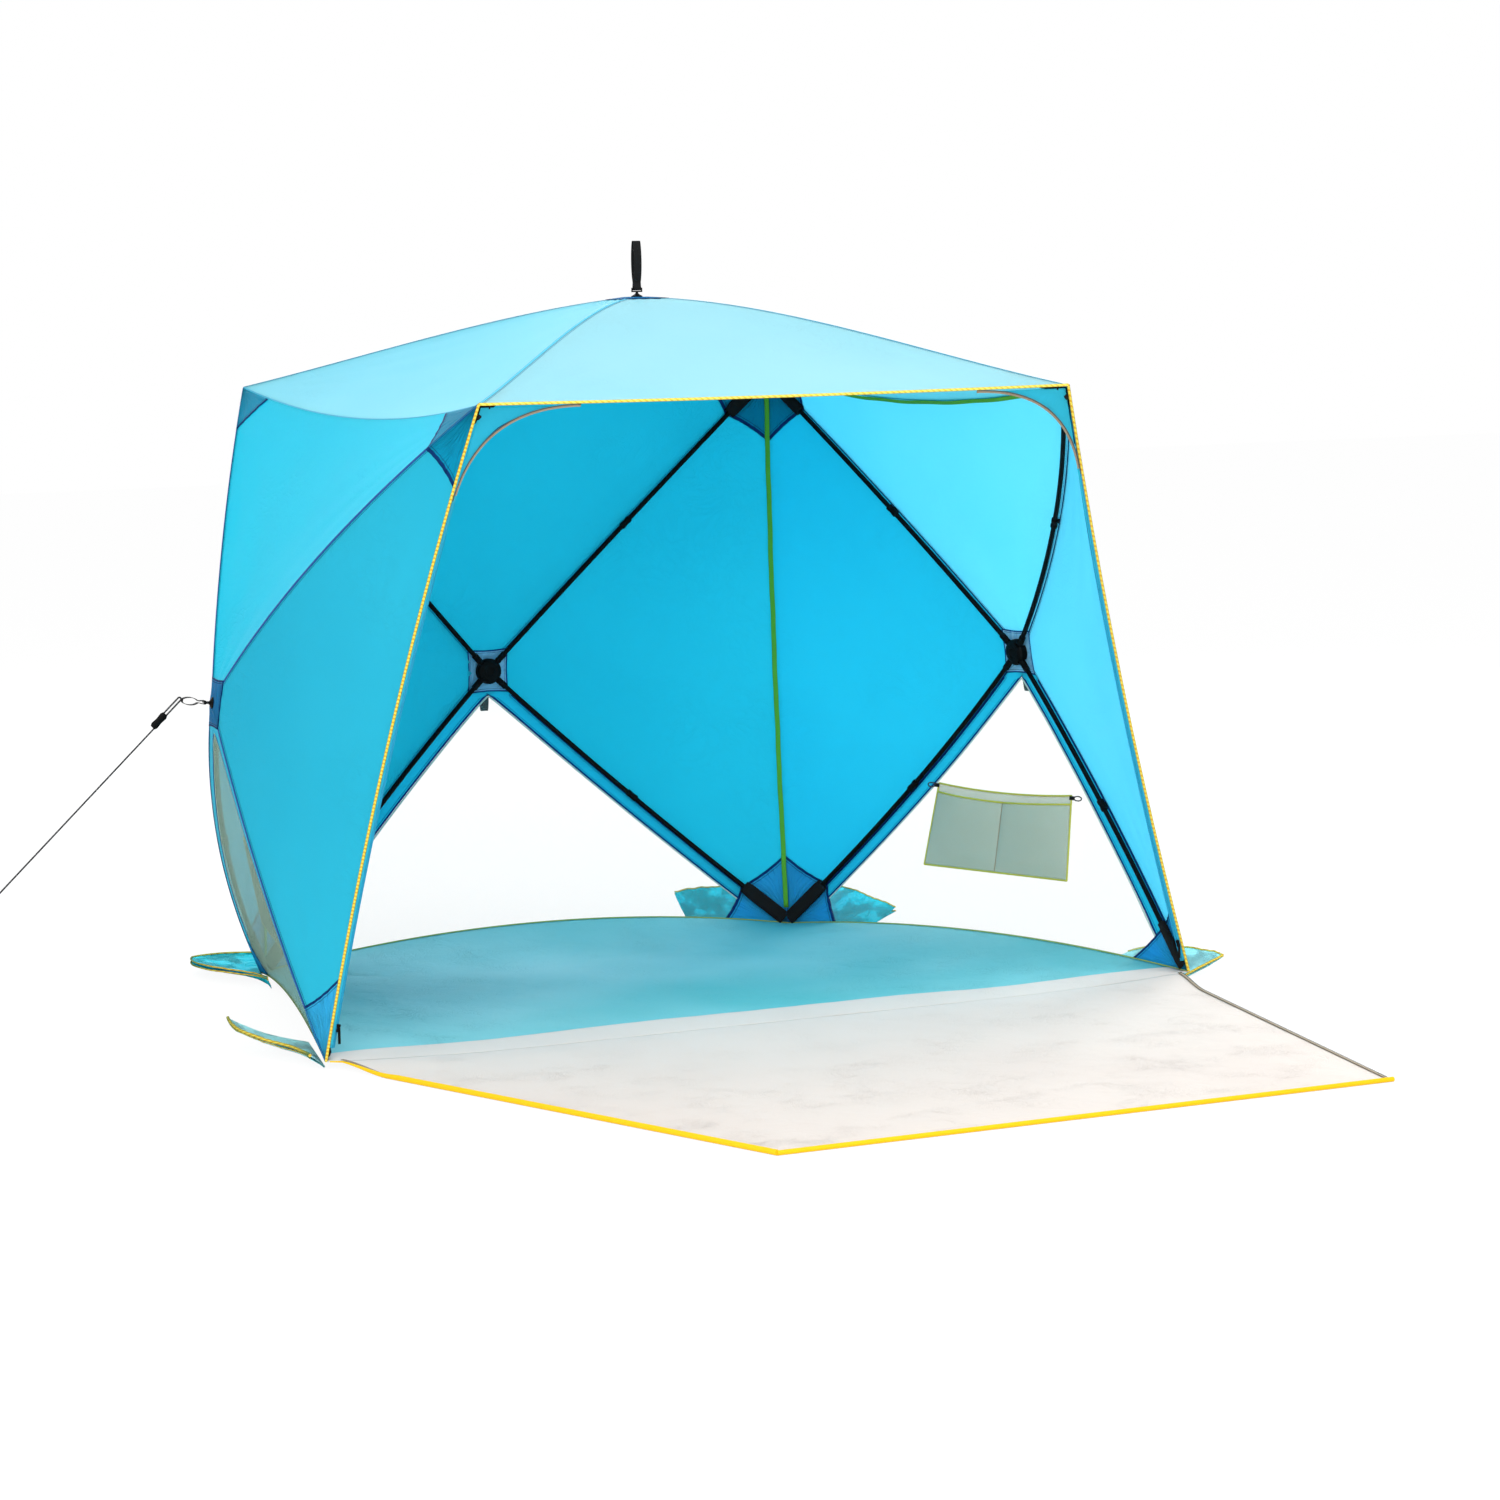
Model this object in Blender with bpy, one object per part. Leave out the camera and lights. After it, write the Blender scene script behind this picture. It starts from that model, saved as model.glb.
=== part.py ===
"""Pop-up sun shelter: four sprung hub faces on a tapered base, with a lay-flat door panel.

Metres, +Z up. The doorway faces -Y, the shelter is symmetric about X = 0, and the origin is on
the ground under the middle of the base. Each face (roof, left, back, right) is a cloth skin over
four fibreglass poles, which are pinned to a hub that stands proud of the corners.
"""

import math

import bmesh
import bpy
from mathutils import Matrix, Vector

# Base and roof outline, measured at the cloth's corners
FRONT_HALF_WIDTH = 1.10
BACK_HALF_WIDTH = 0.735
HALF_DEPTH = 0.69
TOP_FRONT_HALF_WIDTH = 0.736
TOP_BACK_HALF_WIDTH = 0.72
TOP_FRONT_Y = -0.78
TOP_BACK_Y = 0.715
TOP_FRONT_HEIGHT = 1.424
TOP_BACK_HEIGHT = 1.45
FRONT_FOOT_HEIGHT = 0.018
BACK_FOOT_HEIGHT = 0.004

# Hub centres, at the height of the pole pins
SIDE_HUB = Vector((1.056, 0.03, 0.741))
BACK_HUB = Vector((0.0, 0.922, 0.696))
ROOF_HUB = Vector((0.0, -0.03, 1.632))

# Hub body
HUB_RADIUS = 0.033
HUB_HALF_THICKNESS = 0.013
PIN_CIRCLE_RADIUS = 0.020
PIN_RADIUS = 0.0020
PIN_LENGTH = 0.021
SLOT_WIDTH = 0.0124
SLOT_START = 0.0125
SLOT_FLOOR = -0.0104
STUD_BORE_RADIUS = 0.0036
STUD_BORE_FLOOR = 0.001

# Poles
ROD_RADIUS = 0.006
SIDE_BOWS = {"front_low": 0.014, "front_top": 0.045, "back_top": 0.010, "back_low": 0.042}
BACK_BOWS = {"low": 0.042, "top": 0.010}
ROOF_BOWS = {"front": 0.024, "back": 0.014}
TONGUE_HALF_WIDTH = 0.0053
EYE_RADIUS = 0.0062
PIN_HOLE_RADIUS = 0.00245
FERRULE_RADIUS = 0.008
FERRULE_SPAN = (0.017, 0.043)
CLIP_RADIUS = 0.0086
CLIP_HALF_LENGTH = 0.016
BOOT_LENGTH = 0.118
BOOT_HALF_WIDTH = 0.017
BOOT_HALF_THICKNESS = 0.0070
TIP_SETBACK = 0.032
TIP_MIN_HEIGHT = 0.027
SECTION_SIDES = 8

# Cloth
CLOTH = 0.0015
CLOTH_OVER_BOW = 0.002
CLOTH_OVER_HUB = 0.0145
CLOTH_RING_RADIUS = 0.031
CLOTH_HOLE_RADIUS = 0.0075
CLOTH_DRAW_IN = 0.012
TIP_DEPTH_UNDER_CLOTH = 0.0105
SEAM_GAP = 0.0018
WINDOW_STRIP = 0.060
WINDOW_GAP = 0.0012
SIDE_SILL_LIFT = 0.038
BACK_SILL_LIFT = 0.062
ROOF_SEAM_DROP = 0.052
LEG_DRAW_BACK = 0.048
REAR_SEAM_DRAW_IN = 0.014

# Corner patches, gussets, floor and door panel
PATCH_REACH = 0.17
PATCH_POLE_SHARE = 0.12
PATCH_STANDOFF = 0.0028
PATCH_THICKNESS = 0.0012
GUSSET_ON_LEG = 0.20
GUSSET_ON_ROOF = 0.235
FLOOR_THICKNESS = 0.0025
FLOOR_INSET = 0.007
FLOOR_RIM = 0.24
DOOR_LENGTH = 1.385
DOOR_SILL_HALF_WIDTH = 1.075
DOOR_FAR_HALF_WIDTH = 0.715
DOOR_THICKNESS = 0.0025
DOOR_HINGE_Y = -0.692

# Sand pockets, along the sills at the four feet
SAND_REACH = 0.26
SAND_DEPTH = 0.135
SAND_MOUTH = 0.045
SAND_LIFT = 0.022
SAND_WALL = 0.0016
SAND_STANDOFF = 0.008

# Storage pockets, hung inside the side windows
POCKET_WIDTH = 0.47
POCKET_HEIGHT = 0.21
POCKET_DEPTH = 0.022
POCKET_WALL = 0.0018
POCKET_TOP_HEIGHT = 0.402
POCKET_STANDOFF = -0.004
POCKET_SHIFT = -0.018

# Door zip sliders, at the bottom of the legs
SLIDER_SIZE = (0.010, 0.006, 0.018)
SLIDER_LEG_SHARE = 0.05
SLIDER_INSET = 0.013
PULL_TAB_SIZE = (0.006, 0.0014, 0.034)

# Hub caps, pull straps and guy line
CAP_BASE = 0.0172
CAP_RADIUS = 0.0135
STIRRUP_HALF_WIDTH = 0.0125
STIRRUP_WIRE = 0.0018
STRAP_WIDTH = 0.019
STRAP_THICKNESS = 0.0018
STRAP_PIVOT = 0.037
ROOF_STRAP_LENGTH = 0.112
HUB_STRAP_LENGTH = 0.105
GUY_STRAP_LENGTH = 0.052
GUY_RADIUS = 0.002
GUY_STRAND_GAP = 0.008
GUY_GROUND_POINT = Vector((-1.95, 0.05, 0.008))
TENSIONER_LENGTH = 0.042
TENSIONER_AT = 0.048
KNOT_RADIUS = 0.0075

UP = Vector((0, 0, 1))

# Colours: base colour, roughness, metallic
CLOTH_BLUE = ("shell_cloth", (0.13, 0.60, 0.82), 0.55, 0.0)
PATCH_BLUE = ("patch_cloth", (0.03, 0.24, 0.62), 0.6, 0.0)
GUSSET_BLUE = ("gusset_cloth", (0.02, 0.30, 0.46), 0.6, 0.0)
MESH_GREY = ("window_mesh", (0.45, 0.52, 0.50), 0.8, 0.0)
FLOOR_TEAL = ("floor_sheet", (0.18, 0.45, 0.52), 0.5, 0.0)
DOOR_WHITE = ("door_cloth", (0.84, 0.82, 0.80), 0.6, 0.0)
SAND_BLUE = ("sand_pocket_cloth", (0.22, 0.66, 0.86), 0.6, 0.0)
POCKET_GREY = ("pocket_mesh", (0.33, 0.42, 0.39), 0.8, 0.0)
BLACK_NYLON = ("hub_nylon", (0.015, 0.015, 0.017), 0.45, 0.0)
BLACK_ROD = ("pole_fibreglass", (0.018, 0.018, 0.020), 0.35, 0.0)
BLACK_WEBBING = ("strap_webbing", (0.012, 0.012, 0.013), 0.85, 0.0)
CORD_BLACK = ("guy_cord", (0.02, 0.02, 0.02), 0.8, 0.0)


def foot(half_width, y, z):
    """A left-hand and a right-hand corner at the same place across the shelter."""
    return Vector((-half_width, y, z)), Vector((half_width, y, z))


def outline_corners():
    """The eight corners of the cloth, by name."""
    rows = {
        ("front", "low"): foot(FRONT_HALF_WIDTH, -HALF_DEPTH, FRONT_FOOT_HEIGHT),
        ("front", "top"): foot(TOP_FRONT_HALF_WIDTH, TOP_FRONT_Y, TOP_FRONT_HEIGHT),
        ("back", "low"): foot(BACK_HALF_WIDTH, HALF_DEPTH, BACK_FOOT_HEIGHT),
        ("back", "top"): foot(TOP_BACK_HALF_WIDTH, TOP_BACK_Y, TOP_BACK_HEIGHT),
    }
    return {f"{end}_{side}_{level}": point
            for (end, level), pair in rows.items()
            for side, point in zip(("left", "right"), pair)}


CORNERS = outline_corners()


class Face:
    """One hub face: its hub, and its corners in order round the edge."""

    def __init__(self, name, hub, ring):
        self.name = name
        self.hub = hub
        self.ring = ring
        first, second, third, fourth = (CORNERS[corner] for corner in ring)
        normal = (third - first).cross(fourth - second).normalized()
        middle = (first + second + third + fourth) / 4
        self.normal = normal if normal.dot(hub - middle) > 0 else -normal

    def spoke(self, index):
        """Unit direction in the hub's plane from the hub towards a corner."""
        way = CORNERS[self.ring[index % 4]] - self.hub
        return (way - self.normal * way.dot(self.normal)).normalized()

    def bow(self, index, t):
        """How far a pole bows outwards: t is 0 at the hub and 1 at the corner."""
        end, _, level = self.ring[index % 4].split("_")
        if self.name == "roof":
            return ROOF_BOWS[end] * 6.75 * t * (1 - t) ** 2
        middle = BACK_BOWS[level] if self.name == "back" else SIDE_BOWS[f"{end}_{level}"]
        return middle * 4 * t * (1 - t)

    def frame(self):
        """The hub's own frame: Z out of the shelter, X near the upward direction."""
        guide = UP if abs(self.normal.z) < 0.9 else Vector((0, 1, 0))
        x_axis = (guide - self.normal * guide.dot(self.normal)).normalized()
        y_axis = self.normal.cross(x_axis)
        turned = Matrix((x_axis, y_axis, self.normal)).transposed().to_4x4()
        return Matrix.Translation(self.hub) @ turned


def mirrored(point):
    """The same point on the other side of the shelter."""
    return Vector((-point.x, point.y, point.z))


FACES = {
    "roof": Face("roof", ROOF_HUB,
                 ["front_left_top", "front_right_top", "back_right_top", "back_left_top"]),
    "left": Face("left", mirrored(SIDE_HUB),
                 ["front_left_low", "front_left_top", "back_left_top", "back_left_low"]),
    "back": Face("back", BACK_HUB,
                 ["back_left_low", "back_left_top", "back_right_top", "back_right_low"]),
    "right": Face("right", SIDE_HUB,
                  ["front_right_low", "front_right_top", "back_right_top", "back_right_low"]),
}
WALLS = ("left", "back", "right")
SILL_SECTOR = 3


def make_material(look):
    """A Principled material from a name, colour, roughness and metallic value."""
    name, colour, roughness, metallic = look
    material = bpy.data.materials.get(name) or bpy.data.materials.new(name)
    material.use_nodes = True
    shader = material.node_tree.nodes["Principled BSDF"]
    shader.inputs["Base Color"].default_value = (*colour, 1)
    shader.inputs["Roughness"].default_value = roughness
    shader.inputs["Metallic"].default_value = metallic
    material.diffuse_color = (*colour, 1)
    return material


def add_object(name, bm, look, origin=None, smooth=True):
    """Turns a bmesh in world coordinates into an object whose origin is the given frame."""
    bmesh.ops.recalc_face_normals(bm, faces=bm.faces)
    mesh = bpy.data.meshes.new(name)
    bm.to_mesh(mesh)
    bm.free()
    piece = bpy.data.objects.new(name, mesh)
    bpy.context.scene.collection.objects.link(piece)
    if look:
        mesh.materials.append(make_material(look))
    if smooth:
        mesh.shade_smooth()
        mesh.set_sharp_from_angle(angle=math.radians(35))
    if origin is not None:
        mesh.transform(origin.inverted())
        piece.matrix_world = origin
    return piece


def attach(piece, parent):
    """Parents a piece where it stands."""
    bpy.context.view_layer.update()
    piece.parent = parent
    piece.matrix_parent_inverse = parent.matrix_world.inverted()


def add_boolean(piece, tool, operation):
    """A Boolean modifier with a hidden tool object."""
    tool.hide_render = True
    tool.display_type = "WIRE"
    modifier = piece.modifiers.new(tool.name, "BOOLEAN")
    modifier.operation = operation
    modifier.solver = "EXACT"
    modifier.object = tool


def turned(bm, profile, frame, steps):
    """A closed body of revolution about the frame's Z, from (radius, height) points."""
    on_axis = [bm.verts.new((radius, 0, height)) for radius, height in profile]
    edges = [bm.edges.new(pair) for pair in zip(on_axis, on_axis[1:])]
    bmesh.ops.spin(bm, geom=on_axis + edges, cent=(0, 0, 0), axis=(0, 0, 1),
                   angle=math.tau, steps=steps, use_merge=True, use_duplicate=False)
    bmesh.ops.remove_doubles(bm, verts=bm.verts, dist=1e-6)
    bmesh.ops.transform(bm, matrix=frame, verts=bm.verts)


def add_rod(bm, middle, axis, radius, length, sides):
    """A straight round bar across the given middle point."""
    turn = axis.to_track_quat("Z", "Y").to_matrix().to_4x4()
    bmesh.ops.create_cone(bm, cap_ends=True, segments=sides, radius1=radius, radius2=radius,
                          depth=length, matrix=Matrix.Translation(middle) @ turn)


def loft(bm, rings):
    """Closed skin over rings of points with equal counts, with a flat end at each side."""
    loops = [[bm.verts.new(point) for point in ring] for ring in rings]
    count = len(loops[0])
    for near, far in zip(loops, loops[1:]):
        for k in range(count):
            bm.faces.new((near[k], near[(k + 1) % count], far[(k + 1) % count], far[k]))
    bm.faces.new(loops[0])
    bm.faces.new(loops[-1])


def add_sheet(name, cells, shift, look):
    """A thin closed sheet: joined cells, extruded by shift."""
    bm = bmesh.new()
    for cell in cells:
        bm.faces.new([bm.verts.new(point) for point in cell])
    bmesh.ops.remove_doubles(bm, verts=bm.verts, dist=1e-5)
    grown = bmesh.ops.extrude_face_region(bm, geom=bm.faces[:])
    raised = [item for item in grown["geom"] if isinstance(item, bmesh.types.BMVert)]
    bmesh.ops.translate(bm, verts=raised, vec=shift)
    return add_object(name, bm, look)


# Cloth surfaces


def edge_sag(first, second):
    """How far the middle of a cloth edge leaves the straight line between its corners."""
    names = {first, second}
    side = -1 if "left" in first else 1
    if all("low" in name for name in names):
        across = "left" in first and "right" in second or "right" in first and "left" in second
        return UP * (BACK_SILL_LIFT if across else SIDE_SILL_LIFT)
    if all("top" in name for name in names):
        front = all("front" in name for name in names)
        return UP * (-0.004 if front else -ROOF_SEAM_DROP)
    if all("front" in name for name in names):
        return Vector((side * 0.007, LEG_DRAW_BACK, 0))
    return Vector((-side * REAR_SEAM_DRAW_IN, -REAR_SEAM_DRAW_IN, 0))


def edge_point(face, sector, u):
    """A point on a face's outer edge, u from 0 to 1 between two corners."""
    first, second = face.ring[sector], face.ring[(sector + 1) % 4]
    return CORNERS[first].lerp(CORNERS[second], u) + edge_sag(first, second) * 4 * u * (1 - u)


def seam_point(face, index, s):
    """A point on the cloth over a pole: s is 0 at the corner and 1 at the hub's rim."""
    index %= 4
    rim = face.hub + face.spoke(index) * CLOTH_RING_RADIUS + face.normal * CLOTH_OVER_HUB
    straight = CORNERS[face.ring[index]].lerp(rim, s)
    bow = face.bow(index, 1 - s) + CLOTH_OVER_BOW * 4 * s * (1 - s)
    return straight + face.normal * bow


def cloth_point(face, sector, u, s):
    """A point on the inner surface of a face's cloth, in one of its four sectors."""
    first, second = face.ring[sector], face.ring[(sector + 1) % 4]
    between_seams = seam_point(face, sector, s).lerp(seam_point(face, sector + 1, s), u)
    sag = edge_sag(first, second) * 4 * u * (1 - u) * (1 - s) ** 2
    chord = face.spoke(sector).lerp(face.spoke(sector + 1), u)
    rounding = (chord.normalized() - chord) * CLOTH_RING_RADIUS * s ** 12
    depth = 0 if sector == SILL_SECTOR else CLOTH_DRAW_IN
    drawn_in = face.normal * depth * 16 * u * (1 - u) * s * (1 - s)
    return between_seams + sag + rounding - drawn_in


def sector_width(face, sector, s):
    """The distance between the two seams of a sector at s."""
    return (seam_point(face, sector, s) - seam_point(face, sector + 1, s)).length


def window_top(face):
    """The s at which the two cloth strips beside a window meet."""
    low, high = 0.5, 1.0
    for _ in range(40):
        middle = (low + high) / 2
        if sector_width(face, SILL_SECTOR, middle) > 2 * WINDOW_STRIP:
            low = middle
        else:
            high = middle
    return low


def spread(low, high, count):
    """Evenly spaced values from low to high."""
    return [low + (high - low) * k / count for k in range(count + 1)]


def grid_cells(point_at, columns_at, rows):
    """Cells between rows of s values; columns_at(s) gives the u values there."""
    cells = []
    for near, far in zip(rows, rows[1:]):
        low, high = columns_at(near), columns_at(far)
        for k in range(len(low) - 1):
            corners = [point_at(low[k], near), point_at(low[k + 1], near),
                       point_at(high[k + 1], far), point_at(high[k], far)]
            kept = [corners[0]]
            for corner in corners[1:]:
                if (corner - kept[-1]).length > 1e-5:
                    kept.append(corner)
            if (kept[-1] - kept[0]).length <= 1e-5:
                kept.pop()
            if len(kept) > 2:
                cells.append(kept)
    return cells


def hub_cells(face, sector, columns):
    """The cloth between the hub's rim and the hole round the cap's stud."""
    def ring_point(u, radius):
        out = face.spoke(sector).lerp(face.spoke(sector + 1), u).normalized()
        return face.hub + face.normal * CLOTH_OVER_HUB + out * radius

    cells = []
    for low, high in zip(columns, columns[1:]):
        cells.append([ring_point(low, CLOTH_RING_RADIUS), ring_point(high, CLOTH_RING_RADIUS),
                      ring_point(high, CLOTH_HOLE_RADIUS), ring_point(low, CLOTH_HOLE_RADIUS)])
    return cells


def cloth_rows():
    """The s values of the cloth's rows; the first row is as deep as the corner patches."""
    return [SEAM_GAP, *spread(PATCH_POLE_SHARE, 1, 6)]


def cloth_columns(face, sector):
    """The u values of a sector's columns; the end columns are as wide as the patches."""
    length = (edge_point(face, sector, 1) - edge_point(face, sector, 0)).length
    reach = PATCH_REACH / length
    return [0, reach, 0.3, 0.5, 0.7, 1 - reach, 1]


def split_ends(cells, count):
    """Splits the first row's two end cells along the slanted edge of a corner patch."""
    near, far = cells[0], cells[count - 1]
    return [[near[0], near[1], near[3]], near[1:], far[:3], [far[0], far[2], far[3]],
            *cells[1:count - 1], *cells[count:]]


def build_skin(name, face):
    """A face's cloth: three or four full sectors, and strips beside the window of a wall."""
    cells = []
    full = range(4) if face.name == "roof" else range(3)
    for sector in full:
        columns = cloth_columns(face, sector)
        sector_cells = grid_cells(lambda u, s, k=sector: cloth_point(face, k, u, s),
                                  lambda s, c=columns: c, cloth_rows())
        cells += split_ends(sector_cells, len(columns) - 1)
        cells += hub_cells(face, sector, columns)
    if face.name != "roof":
        def strip_at(s):
            return min(0.5, WINDOW_STRIP / sector_width(face, SILL_SECTOR, s))

        def point_at(u, s):
            return cloth_point(face, SILL_SECTOR, u, s)

        apex = window_top(face)
        below = [row for row in cloth_rows() if row < apex] + [apex]
        cells += grid_cells(point_at, lambda s: [0, strip_at(s)], below)
        cells += grid_cells(point_at, lambda s: [1 - strip_at(s), 1], below)
        cells += grid_cells(point_at, lambda s: [0, 0.5, 1], [apex, 1])
        cells += hub_cells(face, SILL_SECTOR, [0, 0.5, 1])
    return add_sheet(name, cells, face.normal * CLOTH, CLOTH_BLUE)


def build_window(name, face):
    """The mesh panel between the two strips, down to the sill."""
    def columns_at(s):
        edge = (WINDOW_STRIP + WINDOW_GAP) / sector_width(face, SILL_SECTOR, s)
        inner = cloth_columns(face, SILL_SECTOR)[1:-1]
        return [edge, *(min(max(u, edge), 1 - edge) for u in inner), 1 - edge]

    top = window_top(face) - 0.012
    rows = [row for row in cloth_rows() if row < top] + [top]
    cells = grid_cells(lambda u, s: cloth_point(face, SILL_SECTOR, u, s), columns_at, rows)
    return add_sheet(name, split_ends(cells, 6), face.normal * CLOTH, MESH_GREY)


def seam_normals(corner):
    """The normals of the walls that meet at a corner's upright seam or leg."""
    return [FACES[wall].normal for wall in WALLS if corner in FACES[wall].ring]


def standoff(corner, face, on_upright, distance):
    """How a patch stands off its wall; on the upright seam it stands off both walls."""
    normals = seam_normals(corner)
    if not on_upright or len(normals) == 1:
        return face.normal * distance
    return (normals[0] + normals[1]) * distance / (1 + normals[0].dot(normals[1]))


def patch_corners(corner, face, sector, toward):
    """A patch's three corners in one sector, as (point, on the upright seam) pairs.

    toward is 1 where the sector's u grows away from this corner, and -1 where it falls."""
    other = face.ring[(sector + 1) % 4] if toward == 1 else face.ring[sector]
    upright = corner[:-4] == other[:-4]
    reach = PATCH_REACH / (CORNERS[other] - CORNERS[corner]).length

    def point(share, s):
        return cloth_point(face, sector, share if toward == 1 else 1 - share, s)

    return [(point(0, 0), True), (point(reach, 0 if upright else SEAM_GAP), upright),
            (point(0, PATCH_POLE_SHARE), False)]


def build_corner_patch(corner):
    """The doubled cloth outside a corner, on every wall that meets there."""
    bm = bmesh.new()
    layers = {}

    def vertex(place, face, on_upright, distance):
        spot = place + standoff(corner, face, on_upright, distance)
        key = (tuple(round(value, 6) for value in place), distance, on_upright or face.name)
        if key not in layers:
            layers[key] = bm.verts.new(spot)
        return layers[key]

    rims = {}
    for wall in WALLS:
        face = FACES[wall]
        if corner not in face.ring:
            continue
        index = face.ring.index(corner)
        for sector, toward in (((index - 1) % 4, -1), (index, 1)):
            cell = patch_corners(corner, face, sector, toward)
            inner = [vertex(p, face, seam, PATCH_STANDOFF) for p, seam in cell]
            outer = [vertex(p, face, seam, PATCH_STANDOFF + PATCH_THICKNESS)
                     for p, seam in cell]
            bm.faces.new(inner)
            bm.faces.new(outer)
            for k in range(3):
                pair = frozenset((inner[k], inner[(k + 1) % 3]))
                rims.setdefault(pair, []).append((inner[k], inner[(k + 1) % 3],
                                                  outer[(k + 1) % 3], outer[k]))
    for sides in rims.values():
        if len(sides) == 1:
            bm.faces.new(sides[0])
    return add_object(f"corner_patch_{corner}", bm, PATCH_BLUE)


def build_gusset(side):
    """The cloth web that rounds a top corner of the doorway."""
    sign = -1 if side == "left" else 1
    wall = FACES[side]
    inward = Vector((-sign * 0.006, 0.004, -0.006))
    top = CORNERS[f"front_{side}_top"]
    leg_share = 1 - GUSSET_ON_LEG / (top - CORNERS[f"front_{side}_low"]).length
    on_leg = edge_point(wall, 0, leg_share)
    roof_share = GUSSET_ON_ROOF / (2 * TOP_FRONT_HALF_WIDTH)
    on_roof = edge_point(FACES["roof"], 0, roof_share if side == "left" else 1 - roof_share)
    steps = 6
    arc = []
    for k in range(steps + 1):
        t = k / steps
        arc.append(on_leg * (1 - t) ** 2 + top * 2 * t * (1 - t) + on_roof * t * t + inward)
    edge = [on_leg.lerp(top, min(1, 2 * k / steps)).lerp(on_roof, max(0, 2 * k / steps - 1))
            + inward for k in range(steps + 1)]
    cells = [[arc[k], arc[k + 1], edge[k + 1], edge[k]] for k in range(1, steps - 1)]
    cells.append([arc[0], arc[1], edge[1]])
    cells.append([arc[steps - 1], arc[steps], edge[steps - 1]])
    return add_sheet(f"{side}_door_gusset", cells, Vector((0, -CLOTH, 0)), GUSSET_BLUE)


def rim(distance):
    """How far the floor follows a sill upwards: 1 at the sill and 0 past the rim's width."""
    return max(0, 1 - distance / FLOOR_RIM) ** 2


def floor_point(a, b):
    """A point under the floor: a runs left to right and b front to back."""
    half = FRONT_HALF_WIDTH + (BACK_HALF_WIDTH - FRONT_HALF_WIDTH) * b - FLOOR_INSET
    y = -HALF_DEPTH + FLOOR_INSET + (2 * HALF_DEPTH - 2 * FLOOR_INSET) * b
    side_lift = SIDE_SILL_LIFT * 4 * b * (1 - b) * (rim(1 - a) + rim(a))
    back_lift = BACK_SILL_LIFT * 4 * a * (1 - a) * rim(1 - b)
    return Vector(((2 * a - 1) * half, y, max(side_lift, back_lift)))


def build_floor():
    """The floor sheet, flat on the ground and drawn up to the arched sills."""
    sides = [0, 0.04, 0.09, 0.16, FLOOR_RIM]
    sides += [1 - share for share in reversed(sides)]
    depth = [0, 0.15, 0.3, 0.45, 0.6, 1 - FLOOR_RIM, 0.84, 0.91, 0.96, 1]
    cells = grid_cells(floor_point, lambda b: sides, depth)
    return add_sheet("floor_sheet", cells, UP * FLOOR_THICKNESS, FLOOR_TEAL)


def build_door():
    """The door panel, unzipped and laid flat in front of the sill it hangs from."""
    def point(a, b):
        half = DOOR_SILL_HALF_WIDTH + (DOOR_FAR_HALF_WIDTH - DOOR_SILL_HALF_WIDTH) * b
        return Vector(((2 * a - 1) * half, DOOR_HINGE_Y - 0.002 - DOOR_LENGTH * b, 0))

    cells = grid_cells(point, lambda b: spread(0, 1, 4), spread(0, 1, 4))
    door = add_sheet("door_panel", cells, UP * DOOR_THICKNESS, DOOR_WHITE)
    hinge = Matrix.Translation((0, DOOR_HINGE_Y, 0.002))
    door.data.transform(hinge.inverted())
    door.matrix_world = hinge
    return door


# Frame: hubs and poles


def build_hub(face):
    """The moulded hub: a turned disc with four pin slots, open outwards and at the rim."""
    frame = face.frame()
    half = HUB_HALF_THICKNESS
    profile = [(0, -half + 0.002), (0.011, -half + 0.002), (0.013, -half), (0.021, -half),
               (0.0295, -0.0095), (HUB_RADIUS, -0.005), (HUB_RADIUS, 0.009), (0.030, half),
               (STUD_BORE_RADIUS, half), (STUD_BORE_RADIUS, STUD_BORE_FLOOR),
               (0, STUD_BORE_FLOOR)]
    body = bmesh.new()
    turned(body, profile, frame, 28)
    hub = add_object(f"{face.name}_hub", body, BLACK_NYLON, frame)

    slots, pins = bmesh.new(), bmesh.new()
    depth = half + 0.003 - SLOT_FLOOR
    reach = HUB_RADIUS + 0.006 - SLOT_START
    for index in range(4):
        spoke = face.spoke(index)
        across = face.normal.cross(spoke)
        axes = Matrix((spoke, across, face.normal)).transposed().to_4x4()
        middle = (face.hub + spoke * (SLOT_START + reach / 2)
                  + face.normal * (SLOT_FLOOR + depth / 2))
        size = Matrix.Diagonal((reach, SLOT_WIDTH, depth, 1))
        bmesh.ops.create_cube(slots, size=1, matrix=Matrix.Translation(middle) @ axes @ size)
        add_rod(pins, face.hub + spoke * PIN_CIRCLE_RADIUS, across, PIN_RADIUS, PIN_LENGTH, 10)
    add_boolean(hub, add_object(f"{face.name}_hub_slots", slots, None, smooth=False),
                "DIFFERENCE")
    add_boolean(hub, add_object(f"{face.name}_hub_pins", pins, None, smooth=False), "UNION")
    return hub


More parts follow.
